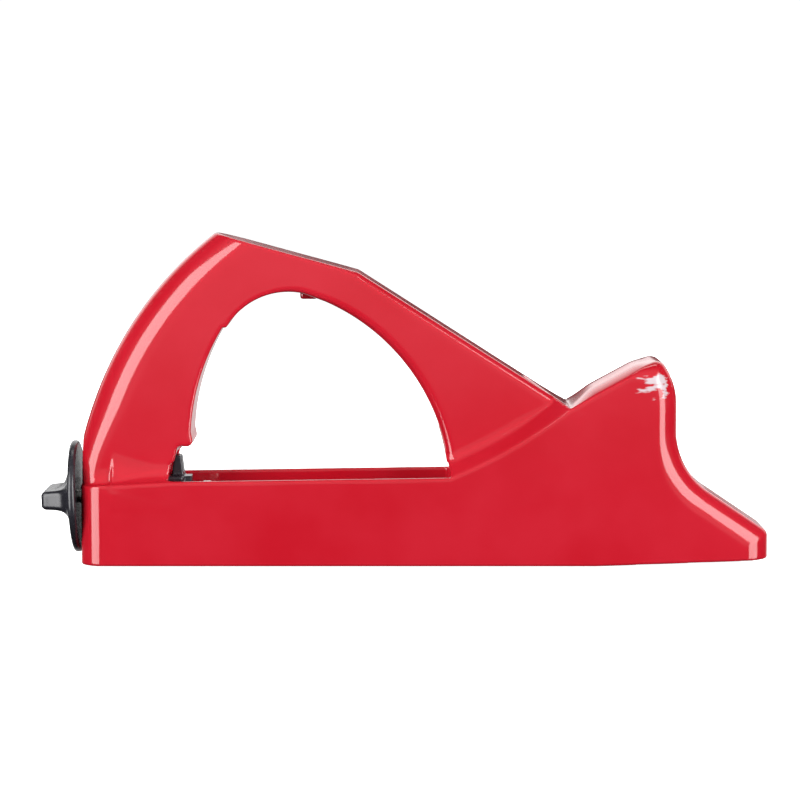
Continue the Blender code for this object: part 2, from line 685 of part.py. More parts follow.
def anchor_screw(name, side, home, tools):
    """A pan-head screw with a driver slot, through the plate into the boss."""
    place = toe_frame(ANCHOR_BOSS_STATION) @ anchor_screw_place(side)
    under = ANCHOR_BOSS_Z - 2 * GAP - HOOK_THICKNESS
    top = under - ANCHOR_HEAD_HEIGHT
    tip = ANCHOR_BOSS_Z + ANCHOR_SCREW_DEPTH
    screw = rod(name, under - 0.3 * MM, tip, ANCHOR_SCREW_RADIUS, home, place, 16)
    head = rod(name + "_head", top, under, ANCHOR_FACE_RADIUS, tools, place, 20, ANCHOR_HEAD_RADIUS)
    boolean(screw, head, "UNION")
    low = (top - CUT_PAST, -2 * ANCHOR_HEAD_RADIUS, -DRIVE_SLOT_WIDTH / 2)
    high = (top + DRIVE_SLOT_DEPTH, 2 * ANCHOR_HEAD_RADIUS, DRIVE_SLOT_WIDTH / 2)
    boolean(screw, box(name + "_drive", low, high, tools, place), "DIFFERENCE")
    return screw


# ---------------------------------------------------------------- tension mechanism


def tension_knob(home, tools):
    """A round flange with a thick grip bar across it, tapered towards its tip."""
    frame = screw_frame()
    knob = rod("tension_knob", KNOB_FLANGE_FRONT, KNOB_FLANGE_BACK, KNOB_FLANGE_RADIUS, home, frame, 48)
    rim = KNOB_FLANGE_RADIUS - 0.5 * MM
    bevel_edges(knob, lambda a, b: KNOB_FLANGE_EDGE if min(off_axis(a), off_axis(b)) > rim else 0.0, 2)
    root = KNOB_FLANGE_FRONT + 1.0 * MM

    def bar_form(bm):
        bmesh.ops.create_cube(bm, size=1.0)
        for vertex in bm.verts:
            tip = vertex.co.x < 0.0
            taper = KNOB_BAR_TAPER if tip else 1.0
            vertex.co = (
                KNOB_TIP if tip else root,
                vertex.co.y * KNOB_BAR_LENGTH * taper,
                vertex.co.z * KNOB_BAR_THICKNESS * taper,
            )

    bar = mesh_object("knob_bar", bar_form, tools, frame)
    bevel_edges(bar, lambda a, b: 0.0 if near_root(a) and near_root(b) else KNOB_BAR_ROUNDING, 3)
    boolean(knob, bar, "UNION")
    bore = rod("knob_bore", SCREW_HEAD_BACK + 0.5 * MM, CUT_PAST, SCREW_RADIUS + GAP, tools, frame)
    boolean(knob, bore, "DIFFERENCE")
    length, width, height = (value + 2 * GAP for value in SCREW_HEAD)
    low = (SCREW_HEAD_BACK - GAP, -width / 2, -height / 2)
    high = (SCREW_HEAD_BACK - GAP + length, width / 2, height / 2)
    boolean(knob, box("knob_head_pocket", low, high, tools, frame), "DIFFERENCE")
    return knob


def off_axis(point):
    """Distance from the screw's axis."""
    local = screw_frame().inverted() @ point
    return math.hypot(local.y, local.z)


def near_root(point):
    """True on the knob's flange side of the grip bar."""
    return (screw_frame().inverted() @ point).x > KNOB_FLANGE_FRONT


def tension_screw(home, tools):
    """M6 screw with a T-head that the knob is moulded round."""
    frame = screw_frame()
    screw = rod("tension_screw", SCREW_HEAD_BACK + 1.0 * MM, SCREW_END, SCREW_RADIUS, home, frame)
    length, width, height = SCREW_HEAD
    low = (SCREW_HEAD_BACK, -width / 2, -height / 2)
    high = (SCREW_HEAD_BACK + length, width / 2, height / 2)
    boolean(screw, box("screw_head", low, high, tools, frame), "UNION")
    return screw


def ring(name, start, thickness, radius, home, tools, split=False):
    """A flat ring on the screw; a split one is open to its lower side."""
    frame = screw_frame()
    made = rod(name, start, start + thickness, radius, home, frame, 32)
    first, last = start - CUT_PAST, start + thickness + CUT_PAST
    hole = rod(name + "_hole", first, last, SCREW_RADIUS + GAP, tools, frame, 32)
    boolean(made, hole, "DIFFERENCE")
    if split:
        low = (first, -CLIP_MOUTH / 2, -radius - CUT_PAST)
        high = (last, CLIP_MOUTH / 2, 0.0)
        boolean(made, box(name + "_split", low, high, tools, frame), "DIFFERENCE")
    return made


def end_cap(home, tools):
    """A push-on cap that keeps the carriage on the screw."""
    frame = screw_frame()
    start = SCREW_END - END_CAP_LENGTH + 1.0 * MM
    cap = rod("screw_end_cap", start, start + END_CAP_LENGTH, END_CAP_RADIUS, home, frame, 24)
    hole = rod("end_cap_hole", start - CUT_PAST, SCREW_END + GAP, SCREW_RADIUS + GAP, tools, frame, 24)
    boolean(cap, hole, "DIFFERENCE")
    return cap


def carriage_outline():
    """Side outline of the carriage block."""
    return [
        (CARRIAGE_REAR, CARRIAGE_BOTTOM_Z),
        (CARRIAGE_REAR, CARRIAGE_TOP_Z - 2.0 * MM),
        (CARRIAGE_REAR + 2.0 * MM, CARRIAGE_TOP_Z),
        (CARRIAGE_FRONT, CARRIAGE_TOP_Z),
        (CARRIAGE_FRONT, CARRIAGE_BOTTOM_Z),
    ]


def tension_carriage(home, tools):
    """Moulded carriage: the screw passes through it, and a square nut sits in its slot."""
    frame = screw_frame()
    carriage = prism("tension_carriage", carriage_outline(), CARRIAGE_HALF_WIDTH, home)
    fin = [
        (FIN_REAR, CARRIAGE_TOP_Z - 3.0 * MM),
        (FIN_REAR + 1.5 * MM, FIN_TOP_Z - 0.8 * MM),
        (FIN_REAR + 2.3 * MM, FIN_TOP_Z),
        (FIN_REAR + 3.3 * MM, FIN_TOP_Z - 0.6 * MM),
        (CARRIAGE_FRONT - GAP, CARRIAGE_TOP_Z - 3.0 * MM),
    ]
    boolean(carriage, prism("carriage_fin", fin, FIN_HALF_WIDTH, tools), "UNION")
    boss_front = CARRIAGE_FRONT + BOSS_LENGTH
    boss = rod("carriage_boss", CARRIAGE_FRONT - 2.0 * MM, boss_front, BOSS_RADIUS, tools, frame, 6)
    boolean(carriage, boss, "UNION")
    first, last = CARRIAGE_REAR - CUT_PAST, boss_front + CUT_PAST
    bore = rod("carriage_bore", first, last, SCREW_RADIUS + GAP, tools, frame)
    boolean(carriage, bore, "DIFFERENCE")
    half = NUT_ACROSS_FLATS / 2 + GAP
    low = (NUT_STATION - GAP, -half, -half)
    high = (NUT_STATION + NUT_THICKNESS + GAP, half, 20.0 * MM)
    boolean(carriage, box("carriage_nut_slot", low, high, tools, frame), "DIFFERENCE")
    top = RIVET_DEPTH + 0.5 * MM
    for s in rivet_stations():
        place = rivet_place(s)
        hole = rod("carriage_rivet_hole", -1.0 * MM, top, RIVET_RADIUS + GAP, tools, place, 16)
        boolean(carriage, hole, "DIFFERENCE")
    return carriage


def tension_nut(home, tools):
    frame = screw_frame()
    half = NUT_ACROSS_FLATS / 2
    low = (NUT_STATION, -half, -half)
    high = (NUT_STATION + NUT_THICKNESS, half, half)
    nut = box("tension_nut", low, high, home, frame)
    first, last = NUT_STATION - CUT_PAST, NUT_STATION + NUT_THICKNESS + CUT_PAST
    hole = rod("nut_thread", first, last, SCREW_RADIUS + GAP, tools, frame)
    boolean(nut, hole, "DIFFERENCE")
    return nut


# ---------------------------------------------------------------- assembly


def main():
    clear_scene()
    parts = collection("rasp_plane")
    tools = collection("rasp_plane_cutters")
    paint = material("red_gloss_paint", (0.62, 0.012, 0.03), 0.15, 0.0)
    moulded = material("black_moulding", (0.028, 0.027, 0.032), 0.4, 0.0)
    steel = material("bright_steel", (0.62, 0.62, 0.64), 0.28, 1.0)
    zinc = material("zinc_plate", (0.72, 0.72, 0.70), 0.35, 1.0)
    rasp = material("rasp_steel", (0.36, 0.37, 0.39), 0.38, 1.0)

    washer_start = REAR_WALL + WASHER_CLEARANCE
    clip_start = washer_start + WASHER_THICKNESS + GAP
    washer = ring("thrust_washer", washer_start, WASHER_THICKNESS, WASHER_RADIUS, parts, tools)
    clip = ring("retaining_clip", clip_start, CLIP_THICKNESS, CLIP_RADIUS, parts, tools, True)
    knob_axis = screw_frame().translation
    pieces = [
        (body_casting(parts, tools), paint, None),
        (rasp_blade(parts, tools), rasp, None),
        (anchor_plate(parts, tools), zinc, None),
        (anchor_screw("anchor_screw_right", -1, parts, tools), steel, None),
        (anchor_screw("anchor_screw_left", 1, parts, tools), steel, None),
        (tension_knob(parts, tools), moulded, knob_axis),
        (tension_screw(parts, tools), zinc, knob_axis),
        (washer, zinc, None),
        (clip, steel, knob_axis),
        (end_cap(parts, tools), zinc, knob_axis),
        (tension_carriage(parts, tools), moulded, knob_axis),
        (tension_nut(parts, tools), zinc, knob_axis),
        (blade_hook(parts, tools), zinc, knob_axis),
        (hook_rivet("hook_rivet_rear", rivet_stations()[0], parts, tools), steel, knob_axis),
        (hook_rivet("hook_rivet_front", rivet_stations()[1], parts, tools), steel, knob_axis),
    ]
    for obj, look, place in pieces:
        finish(obj, look)
        if place is not None:
            set_origin(obj, place)
    bpy.context.view_layer.update()


main()
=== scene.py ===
"""Looks for the hand rasp plane: a smooth painted casting, moulded knob and carriage,
a toothed blade and the small steel pieces of the tension mechanism.

Every piece except the blade is a field: a function that is negative inside the solid and
gives roughly the distance to its surface. Fields are joined, cut and blended with each
other, which gives the fillets of a casting, and then meshed by surface_net().
Lengths inside the fields are millimetres: s runs along the tool from the rear face of the
casting, y across it and z up from the ground.
"""

import json
import math

import bmesh
import bpy
import numpy as np
from mathutils import Matrix, Vector


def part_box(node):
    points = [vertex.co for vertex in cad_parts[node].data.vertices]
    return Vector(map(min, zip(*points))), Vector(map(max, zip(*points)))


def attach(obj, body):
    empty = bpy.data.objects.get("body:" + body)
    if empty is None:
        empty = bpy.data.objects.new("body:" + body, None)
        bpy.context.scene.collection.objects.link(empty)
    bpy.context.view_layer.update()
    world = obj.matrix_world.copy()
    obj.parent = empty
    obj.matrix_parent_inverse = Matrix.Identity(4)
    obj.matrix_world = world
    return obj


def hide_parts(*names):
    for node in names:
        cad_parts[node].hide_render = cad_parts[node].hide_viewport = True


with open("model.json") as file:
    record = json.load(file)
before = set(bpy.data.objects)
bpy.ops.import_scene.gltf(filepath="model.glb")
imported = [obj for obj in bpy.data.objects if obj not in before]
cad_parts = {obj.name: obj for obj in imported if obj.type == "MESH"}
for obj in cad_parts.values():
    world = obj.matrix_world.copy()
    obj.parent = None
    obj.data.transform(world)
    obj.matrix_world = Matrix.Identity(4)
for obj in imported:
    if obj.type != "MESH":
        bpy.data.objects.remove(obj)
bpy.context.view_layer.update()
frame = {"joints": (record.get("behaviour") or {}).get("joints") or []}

MM = 0.001


def node_box(node):
    """A CAD node's lowest and highest corner as (s, y, z) in millimetres."""
    low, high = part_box(node)
    return (Vector(low) - ORIGIN) / MM, (Vector(high) - ORIGIN) / MM


ORIGIN = Vector((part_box("body_casting")[0][0], 0.0, 0.0))
BODY_LOW, BODY_HIGH = node_box("body_casting")
BLADE_LOW, BLADE_HIGH = node_box("rasp_blade")
CARRIAGE_LOW, CARRIAGE_HIGH = node_box("tension_carriage")
JOINTS = {joint["name"]: joint for joint in frame["joints"]}
SCREW_POINT = (Vector(JOINTS["knob_turn"]["pos_m"]) - ORIGIN) / MM
SCREW_AXIS = Vector(JOINTS["knob_turn"]["axis"]).normalized()
SCREW_END = 55.0  # along the screw from its point on the rear face
BORE = 3.3  # radius of the holes that the screw passes through

# Casting
LENGTH = BODY_HIGH.x
HALF_WIDTH = BODY_HIGH.y
SKIRT = BODY_LOW.z
LEG_CENTRE = (155.1, 15.8)
LEG_RADIUS = 159.4
APEX = (59.2, BODY_HIGH.z)
CORNER = (119.2, BODY_HIGH.z - 16.3)
BAR_FOOT = (206.8, 69.8)
NECK = (210.5, 68.4)
HEEL_TOP = 34.4
RIM_REAR = 36.6
RIM_FRONT = 38.3
LEG_FOOT = 38.0
RAMP_FOOT = 158.8
TOE_RISE_START = 220.6
TOE_RISE = 2.7
WALL = 3.2
REAR_WALL = 4.0
HANDLE_HALF = 16.0
REAR_CORNER = 11.0
HEEL_RECESS_END = 13.5
HORN_FRONT = 255.5
HORN_TOP = 87.1
CROWN_CENTRE = (HORN_FRONT - 31.0, 68.5)
CROWN_RADIUS = 31.0
CROWN_DEG = 34.0
TIP_RADIUS = 4.0
FOOT_RADIUS = 31.5
FOOT_CENTRE = (HORN_FRONT + FOOT_RADIUS, 57.8)
NOSE_DEG = 34.0
NOSE_RADIUS = 4.0
SHOULDER_RISE = 6.3
SADDLE_CROWN = 2.6
RAMP_SAG = 2.1

# Front anchor under the toe
ANCHOR_START = 253.0
ANCHOR_WEB_LENGTH = 16.0
ANCHOR_SCREW_ALONG = 8.0
ANCHOR_SCREW_ACROSS = 9.0

# Knob and carriage
KNOB_TIP = -16.8
FLANGE_FRONT = -1.3
NUT_START = 32.0
NUT_LENGTH = 5.0
NUT_HALF = 5.0

# Blade
BLADE_STRIP = 0.45
BLADE_MARGIN = 4.2
BLADE_FLANGE = 4.3
SLOT_HALF = 6.5
TOOTH_STEPS = 5
HOLE_SIDES = 8


# ---------------------------------------------------------------- field tools


def smoothstep(low, high, value):
    t = np.clip((value - low) / (high - low), 0.0, 1.0)
    return t * t * (3.0 - 2.0 * t)


def join(a, b, k):
    """Union of two fields, with a fillet of about k where they meet."""
    h = np.clip(0.5 + 0.5 * (b - a) / k, 0.0, 1.0)
    return b + (a - b) * h - k * h * (1.0 - h)


def meet(a, b, k):
    """Intersection of two fields, with an edge rounded by about k."""
    return -join(-a, -b, k)


def cut(a, b, k):
    """Field a with field b taken out of it."""
    return meet(a, -b, k)


def round_box(x, y, z, low, high, radius):
    """A box between two corners with rounded edges."""
    outside = 0.0
    deepest = -1e9
    for value, lo, hi in zip((x, y, z), low, high):
        over = np.abs(value - (lo + hi) / 2) - (hi - lo) / 2 + radius
        outside = outside + np.maximum(over, 0.0) ** 2
        deepest = np.maximum(deepest, over)
    return np.minimum(deepest, 0.0) + np.sqrt(outside) - radius


def slab(flat, y, half_width, radius):
    """A flat outline's field made as thick as 2 * half_width, with rounded edges."""
    a = flat + radius
    b = np.abs(y) - half_width + radius
    return np.minimum(np.maximum(a, b), 0.0) + np.hypot(np.maximum(a, 0.0), np.maximum(b, 0.0)) - radius


def disc(along, across, start, end, radius, edge):
    """A turned disc or rod from start to end along its axis, with rounded edges."""
    middle = (start + end) / 2
    a = across - radius + edge
    b = np.abs(along - middle) - abs(end - start) / 2 + edge
    return np.minimum(np.maximum(a, b), 0.0) + np.hypot(np.maximum(a, 0.0), np.maximum(b, 0.0)) - edge


class Outline:
    """Distance to a closed outline of (s, z) points, negative inside, kept on a fine grid."""

    STEP = 0.25
    MARGIN = 14.0

    def __init__(self, points):
        corners = np.array([tuple(point) for point in points], dtype=float)
        self.low = corners.min(axis=0) - self.MARGIN
        high = corners.max(axis=0) + self.MARGIN
        s = np.arange(self.low[0], high[0], self.STEP)[:, None]
        z = np.arange(self.low[1], high[1], self.STEP)[None, :]
        nearest = np.full((s.size, z.size), 1e9)
        inside = np.zeros(nearest.shape, dtype=bool)
        for a, b in zip(corners, np.roll(corners, -1, axis=0)):
            run = b - a
            t = np.clip(((s - a[0]) * run[0] + (z - a[1]) * run[1]) / (run @ run), 0.0, 1.0)
            nearest = np.minimum(nearest, (s - a[0] - t * run[0]) ** 2 + (z - a[1] - t * run[1]) ** 2)
            if a[1] != b[1]:
                inside ^= ((a[1] > z) != (b[1] > z)) & (s < a[0] + run[0] * (z - a[1]) / run[1])
        self.grid = np.where(inside, -1.0, 1.0) * np.sqrt(nearest)

    def __call__(self, s, z):
        u = np.clip((s - self.low[0]) / self.STEP, 0.0, self.grid.shape[0] - 1.001)
        v = np.clip((z - self.low[1]) / self.STEP, 0.0, self.grid.shape[1] - 1.001)
        i, j = u.astype(int), v.astype(int)
        u, v = u - i, v - j
        lower = self.grid[i, j] * (1 - u) + self.grid[i + 1, j] * u
        upper = self.grid[i, j + 1] * (1 - u) + self.grid[i + 1, j + 1] * u
        return lower * (1 - v) + upper * v


def arc(centre, radius, start, end, step=2.0):
    """Points along an arc, from one angle to another in degrees, both ends included."""
    count = max(1, int(math.ceil(abs(end - start) / step)))
    angles = np.radians(np.linspace(start, end, count + 1))
    return [(centre[0] + radius * math.cos(a), centre[1] + radius * math.sin(a)) for a in angles]


def rounded_corner(before, corner, after, radius):
    """Points of an arc that rounds one corner of an outline."""
    corner = Vector(corner)
    back = (Vector(before) - corner).normalized()
    on = (Vector(after) - corner).normalized()
    half = back.angle(on) / 2
    centre = corner + (back + on).normalized() * radius / math.sin(half)
    first = corner + back * radius / math.tan(half) - centre
    last = corner + on * radius / math.tan(half) - centre
    start = math.degrees(math.atan2(first.y, first.x))
    turn = math.degrees(math.atan2(last.y, last.x)) - start
    turn = (turn + 180.0) % 360.0 - 180.0
    return arc(centre, radius, start, start + turn, 6.0)


# ---------------------------------------------------------------- meshing


def gradient(field, points, reach=0.02):
    """The field's value and slope at each point."""
    here = field(*points.T)
    slopes = []
    for axis in range(3):
        moved = points.copy()
        moved[:, axis] += reach
        slopes.append((field(*moved.T) - here) / reach)
    return here, np.stack(slopes, axis=1)


def settle(field, points, step, rounds):
    """Move points onto the field's surface."""
    for _ in range(rounds):
        value, slope = gradient(field, points)
        move = value[:, None] * slope / np.maximum((slope**2).sum(axis=1), 0.05)[:, None]
        length = np.linalg.norm(move, axis=1)[:, None]
        points = points - move * np.minimum(1.0, step / np.maximum(length, 1e-9))
    return points


def relax(points, faces, share):
    """Move each point part of the way to the mean of its neighbours."""
    starts = faces.ravel()
    ends = np.roll(faces, -1, axis=1).ravel()
    count = np.bincount(starts, minlength=len(points)) + np.bincount(ends, minlength=len(points))
    mean = np.zeros_like(points)
    for axis in range(3):
        total = np.bincount(starts, points[ends, axis], len(points))
        total += np.bincount(ends, points[starts, axis], len(points))
        mean[:, axis] = total / np.maximum(count, 1)
    return points + (mean - points) * share


def surface_net(field, low, high, step):
    """Vertices and four-cornered faces of the field's surface inside a box."""
    axes = [np.arange(lo - 2.2 * step, hi + 2.2 * step, step) for lo, hi in zip(low, high)]
    grids = (axes[0][:, None, None], axes[1][None, :, None], axes[2][None, None, :])
    shape = tuple(len(axis) for axis in axes)
    inside = np.broadcast_to(field(*grids), shape) < 0.0
    corners = np.zeros(tuple(n - 1 for n in shape), dtype=np.int8)
    for i in (0, 1):
        for j in (0, 1):
            for k in (0, 1):
                corners += inside[i:shape[0] - 1 + i, j:shape[1] - 1 + j, k:shape[2] - 1 + k]
    active = (corners > 0) & (corners < 8)
    cells = np.full(active.shape, -1)
    cells[active] = np.arange(np.count_nonzero(active))
    points = np.stack([axis[index] + step / 2 for axis, index in zip(axes, np.nonzero(active))], axis=1)

    faces = []
    for axis in range(3):
        state = np.moveaxis(inside, axis, 0)
        cell = np.moveaxis(cells, axis, 0)
        i, j, k = np.nonzero((state[:-1] != state[1:])[:, 1:-1, 1:-1])
        j, k = j + 1, k + 1
        ring = np.stack([cell[i, j - 1, k - 1], cell[i, j, k - 1], cell[i, j, k], cell[i, j - 1, k]], axis=1)
        turned = state[i, j, k] == (axis == 1)
        ring[turned] = ring[turned][:, ::-1]
        faces.append(ring)
    return points, np.concatenate(faces)


def field_piece(name, field, low, high, step):
    """An object meshed from a field; low and high bound it in (s, y, z) millimetres."""
    points, faces = surface_net(field, low, high, step)
    points = settle(field, points, step, 4)
    for _ in range(3):
        points = relax(points, faces, 0.5)
        points = settle(field, points, step, 2)
    mesh = bpy.data.meshes.new(name)
    mesh.from_pydata((points * MM + np.array(ORIGIN)).tolist(), [], faces.tolist())
    mesh.validate()
    mesh.shade_smooth()
    obj = bpy.data.objects.new(name, mesh)
    bpy.context.scene.collection.objects.link(obj)
    return obj


# ---------------------------------------------------------------- casting


def nose_line(s):
    """Height of the nose's straight slope, which starts where the foot's curve ends."""
    start = arc(FOOT_CENTRE, FOOT_RADIUS, 270.0 - NOSE_DEG, 270.0 - NOSE_DEG)[0]
    return start[1] - math.tan(math.radians(NOSE_DEG)) * (s - start[0])


def ramp_circle():
    """Centre and radius of the shallow curve that the shoulder rises along."""
    foot, neck = Vector((RAMP_FOOT, RIM_FRONT)), Vector(NECK)
    half = (neck - foot).length / 2
    radius = half**2 / (2.0 * RAMP_SAG) + RAMP_SAG / 2.0
    out = Vector((foot.y - neck.y, neck.x - foot.x)).normalized()
    return (foot + neck) / 2 + out * (radius - RAMP_SAG), radius


def base_outline():
    """Side view of the base, the ramp, the horn and the nose; it runs on below the sole."""
    tip = arc(CROWN_CENTRE, CROWN_RADIUS - TIP_RADIUS, CROWN_DEG, CROWN_DEG)[0]
    saddle = 90.0 + math.degrees(math.atan2(HORN_TOP - NECK[1], tip[0] - NECK[0]))
    nose_s = LENGTH - NOSE_RADIUS
    nose_z = nose_line(nose_s) - NOSE_RADIUS / math.cos(math.radians(NOSE_DEG))
    points = [(0.0, -20.0), (0.0, HEEL_TOP), (LEG_FOOT, RIM_REAR)]
    middle, radius = ramp_circle()
    first = math.degrees(math.atan2(RIM_FRONT - middle.y, RAMP_FOOT - middle.x))
    last = math.degrees(math.atan2(NECK[1] - middle.y, NECK[0] - middle.x))
    points += arc(middle, radius, first, last, 1.0)
    points += arc(tip, TIP_RADIUS, saddle, CROWN_DEG, 8.0)
    points += arc(CROWN_CENTRE, CROWN_RADIUS, CROWN_DEG, 0.0)
    points += arc(FOOT_CENTRE, FOOT_RADIUS, 180.0, 270.0 - NOSE_DEG)
    points += arc((nose_s, nose_z), NOSE_RADIUS, 90.0 - NOSE_DEG, 0.0, 6.0)
    points.append((LENGTH, -20.0))
    return points


def handle_outline():
    """Side view of the handle without its hand loop; the leg's rear curve is a disc of its own."""
    top_slope = (APEX[1] - CORNER[1]) / (CORNER[0] - APEX[0])
    rear = -25.0
    points = [(rear, 20.0), (rear, APEX[1] + (APEX[0] - rear) * top_slope)]
    points += rounded_corner(APEX, CORNER, BAR_FOOT, 5.0)
    bar_slope = (CORNER[1] - BAR_FOOT[1]) / (BAR_FOOT[0] - CORNER[0])
    bar_end = (BAR_FOOT[0] + 7.5, BAR_FOOT[1] - 7.5 * bar_slope)
    points += [bar_end, (bar_end[0] - 2.0, bar_end[1] - 8.0), (BAR_FOOT[0] + 2.0, 30.0)]
    points += [(RAMP_FOOT + 4.0, 20.0)]
    return points


def loop_outline():
    """Side view of everything that is open: the hand loop, the notch and the window."""
    points = [(LEG_FOOT, 20.0), (LEG_FOOT, RIM_REAR - 0.5)]
    points += rounded_corner((LEG_FOOT, RIM_REAR), (LEG_FOOT + 4.0, 51.2), (LEG_FOOT + 10.0, 51.2), 1.0)
    points += rounded_corner((LEG_FOOT + 4.0, 51.2), (LEG_FOOT + 10.2, 51.0), (LEG_FOOT + 10.4, 57.0), 2.5)
    points += arc((143.0, 52.2), 95.6, 177.0, 148.5)
    points += arc((89.5, 86.5), 30.7, 150.0, 78.0)
    points += arc((68.9, 31.0), 89.7, 66.0, 8.0)
    points += [(RAMP_FOOT + 0.4, 38.5), (RAMP_FOOT + 0.4, 20.0)]
    return points


def cavity_outline():
    """Side view of the hollow in the base, which is open below."""
    nose_s = LENGTH - WALL
    nose_z = nose_line(nose_s) - WALL / math.cos(math.radians(NOSE_DEG))
    points = [(REAR_WALL, -25.0), (REAR_WALL, HEEL_TOP - WALL), (LEG_FOOT - 0.3, HEEL_TOP - WALL)]
    points += [(LEG_FOOT - 0.3, RIM_REAR), (LEG_FOOT + 1.0, 44.0), (RAMP_FOOT - 1.0, 44.0)]
    below_ramp = 7.2
    points += [(RAMP_FOOT, RIM_FRONT - below_ramp), (NECK[0], NECK[1] - below_ramp)]
    points += [(HORN_FRONT - 15.0, 75.0), (HORN_FRONT - WALL, 66.5)]
    points += arc(FOOT_CENTRE, FOOT_RADIUS + WALL, 180.0, 270.0 - NOSE_DEG)
    points += [(nose_s, nose_z), (nose_s, -25.0)]
    return points


def screw_coordinates(s, y, z):
    """Distance along the tension screw and from its axis, and the height above it."""
    s, z = s - SCREW_POINT.x, z - SCREW_POINT.z
    along = s * SCREW_AXIS.x + z * SCREW_AXIS.z
    height = z * SCREW_AXIS.x - s * SCREW_AXIS.z
    return along, np.hypot(y, height), height


def sole_height(s):
    return SKIRT + np.maximum(s - TOE_RISE_START, 0.0) * TOE_RISE / (LENGTH - TOE_RISE_START)


def shoulder(s, y, z, handle_flat, loop_flat):
    """The sloping shoulder between the base's sides and the thinner bar above them."""
    middle, radius = ramp_circle()
    above = radius - np.hypot(s - middle.x, z - middle.y)
    step = HALF_WIDTH - HANDLE_HALF
    slope = ((np.abs(y) - HALF_WIDTH) * SHOULDER_RISE + above * step) / math.hypot(step, SHOULDER_RISE)
    wedge = meet(slope, np.abs(y) - HALF_WIDTH, 1.2)
    wedge = np.maximum(wedge, np.maximum(handle_flat, -loop_flat))
    return np.maximum(np.maximum(wedge, 25.0 - z), HEEL_RECESS_END - s)


def anchor_web(s, y, z):
    """The cross web under the toe that the blade's front plate is screwed to."""
    lean = TOE_RISE / (LENGTH - TOE_RISE_START)
    high = z - sole_height(s)
    along = s - high * lean - ANCHOR_START
    web = round_box(along, y, high, (0.0, -21.0, 9.0), (ANCHOR_WEB_LENGTH, 21.0, 22.0), 1.0)
    for side in (-1.0, 1.0):
        hole = np.hypot(along - ANCHOR_SCREW_ALONG, y - side * ANCHOR_SCREW_ACROSS) - 2.3
        web = cut(web, np.maximum(hole, high - 19.0), 0.2)
    return web


def rear_corner(s, y):
    """The upright prism with rounded rear corners that everything stays inside."""
    over = np.maximum(np.abs(y) - HALF_WIDTH + REAR_CORNER, 0.0)
    return np.hypot(np.minimum(s - REAR_CORNER, 0.0), over) - REAR_CORNER


def base_form(s, y, z, flat, front, corner):
    """The base, the horn with its crowned saddle, and the nose, not yet hollow."""
    crown = smoothstep(NECK[0] - 2.0, NECK[0] + 10.0, s) * (1.0 - smoothstep(236.0, 248.0, s))
    crown = SADDLE_CROWN * crown * smoothstep(58.0, 64.0, z) * (1.0 - (y / HALF_WIDTH) ** 4)
    base = slab(flat(s, z - crown), y, HALF_WIDTH, 1.0 + 9.5 * front)
    return meet(base, corner, 0.8 - 0.75 * smoothstep(6.0, 20.0, s))


def handle_form(s, y, z, outer, loop):
    """The handle: its rounded leg, top and bar, with the edge of the hand loop softened."""
    crisp = 1.6 + 2.0 * smoothstep(108.0, 124.0, s)
    round_loop = 1.2 + 2.6 * smoothstep(60.0, 130.0, s)
    disc_flat = np.hypot(s - LEG_CENTRE[0], z - LEG_CENTRE[1]) - LEG_RADIUS
    round_leg = 11.0 + 4.4 * smoothstep(40.0, 72.0, z)
    handle = meet(slab(disc_flat, y, HANDLE_HALF, round_leg), slab(outer, y, HANDLE_HALF, crisp), 0.8)
    handle = meet(handle, slab(-loop, y, HANDLE_HALF, round_loop), 0.3)
    handle = np.maximum(handle, np.maximum(20.5 - z, z - APEX[1]))
    stub = round_box(s, y, z, (94.2, -4.5, 113.6), (101.6, 4.5, 125.0), 1.2)
    return join(handle, stub, 1.0)


def set_on_base(solid, handle, corner, s, z):
    """The handle joined to the base: a hollow curve down to the heel's ledge, then fillets."""
    heel = 1.0 - smoothstep(HEEL_RECESS_END - 0.6, HEEL_RECESS_END + 0.8, s)
    drop = np.clip((41.5 - z) / 7.0, 0.0, 1.0)
    reach = heel * np.clip(-0.7 - corner, 0.0, 3.6)
    flare = np.maximum(handle - reach * (1.0 - np.sqrt(1.0 - drop**2)), corner + 0.7 * heel)
    fillet = 0.6 + 6.4 * (1.0 - heel)
    fillet = fillet - 5.0 * smoothstep(60.0, 120.0, s) - 1.5 * smoothstep(185.0, 203.0, s)
    return join(solid, flare, fillet)


def pockets(s, y, z):
    """The blade's seat under the sole and the carriage's room under the leg, as (field, edge)."""
    high = z - sole_height(s)
    seat = round_box(s, y, high, (12.0, -21.3, -40.0), (LENGTH - 6.4, 21.3, 5.0), 0.5)
    low_room = round_box(s, y, z, (REAR_WALL, -10.0, 26.0), (60.0, 10.0, 36.5), 1.0)
    high_room = round_box(s, y, z + (40.0 - s) * 0.35, (18.0, -10.0, 20.0), (60.0, 10.0, 48.0), 1.5)
    along, across, _ = screw_coordinates(s, y, z)
    screw_hole = np.maximum(across - 3.6, along - 12.0)
    return (seat, 0.5), (join(low_room, high_room, 0.5), 0.6), (screw_hole, 0.4)


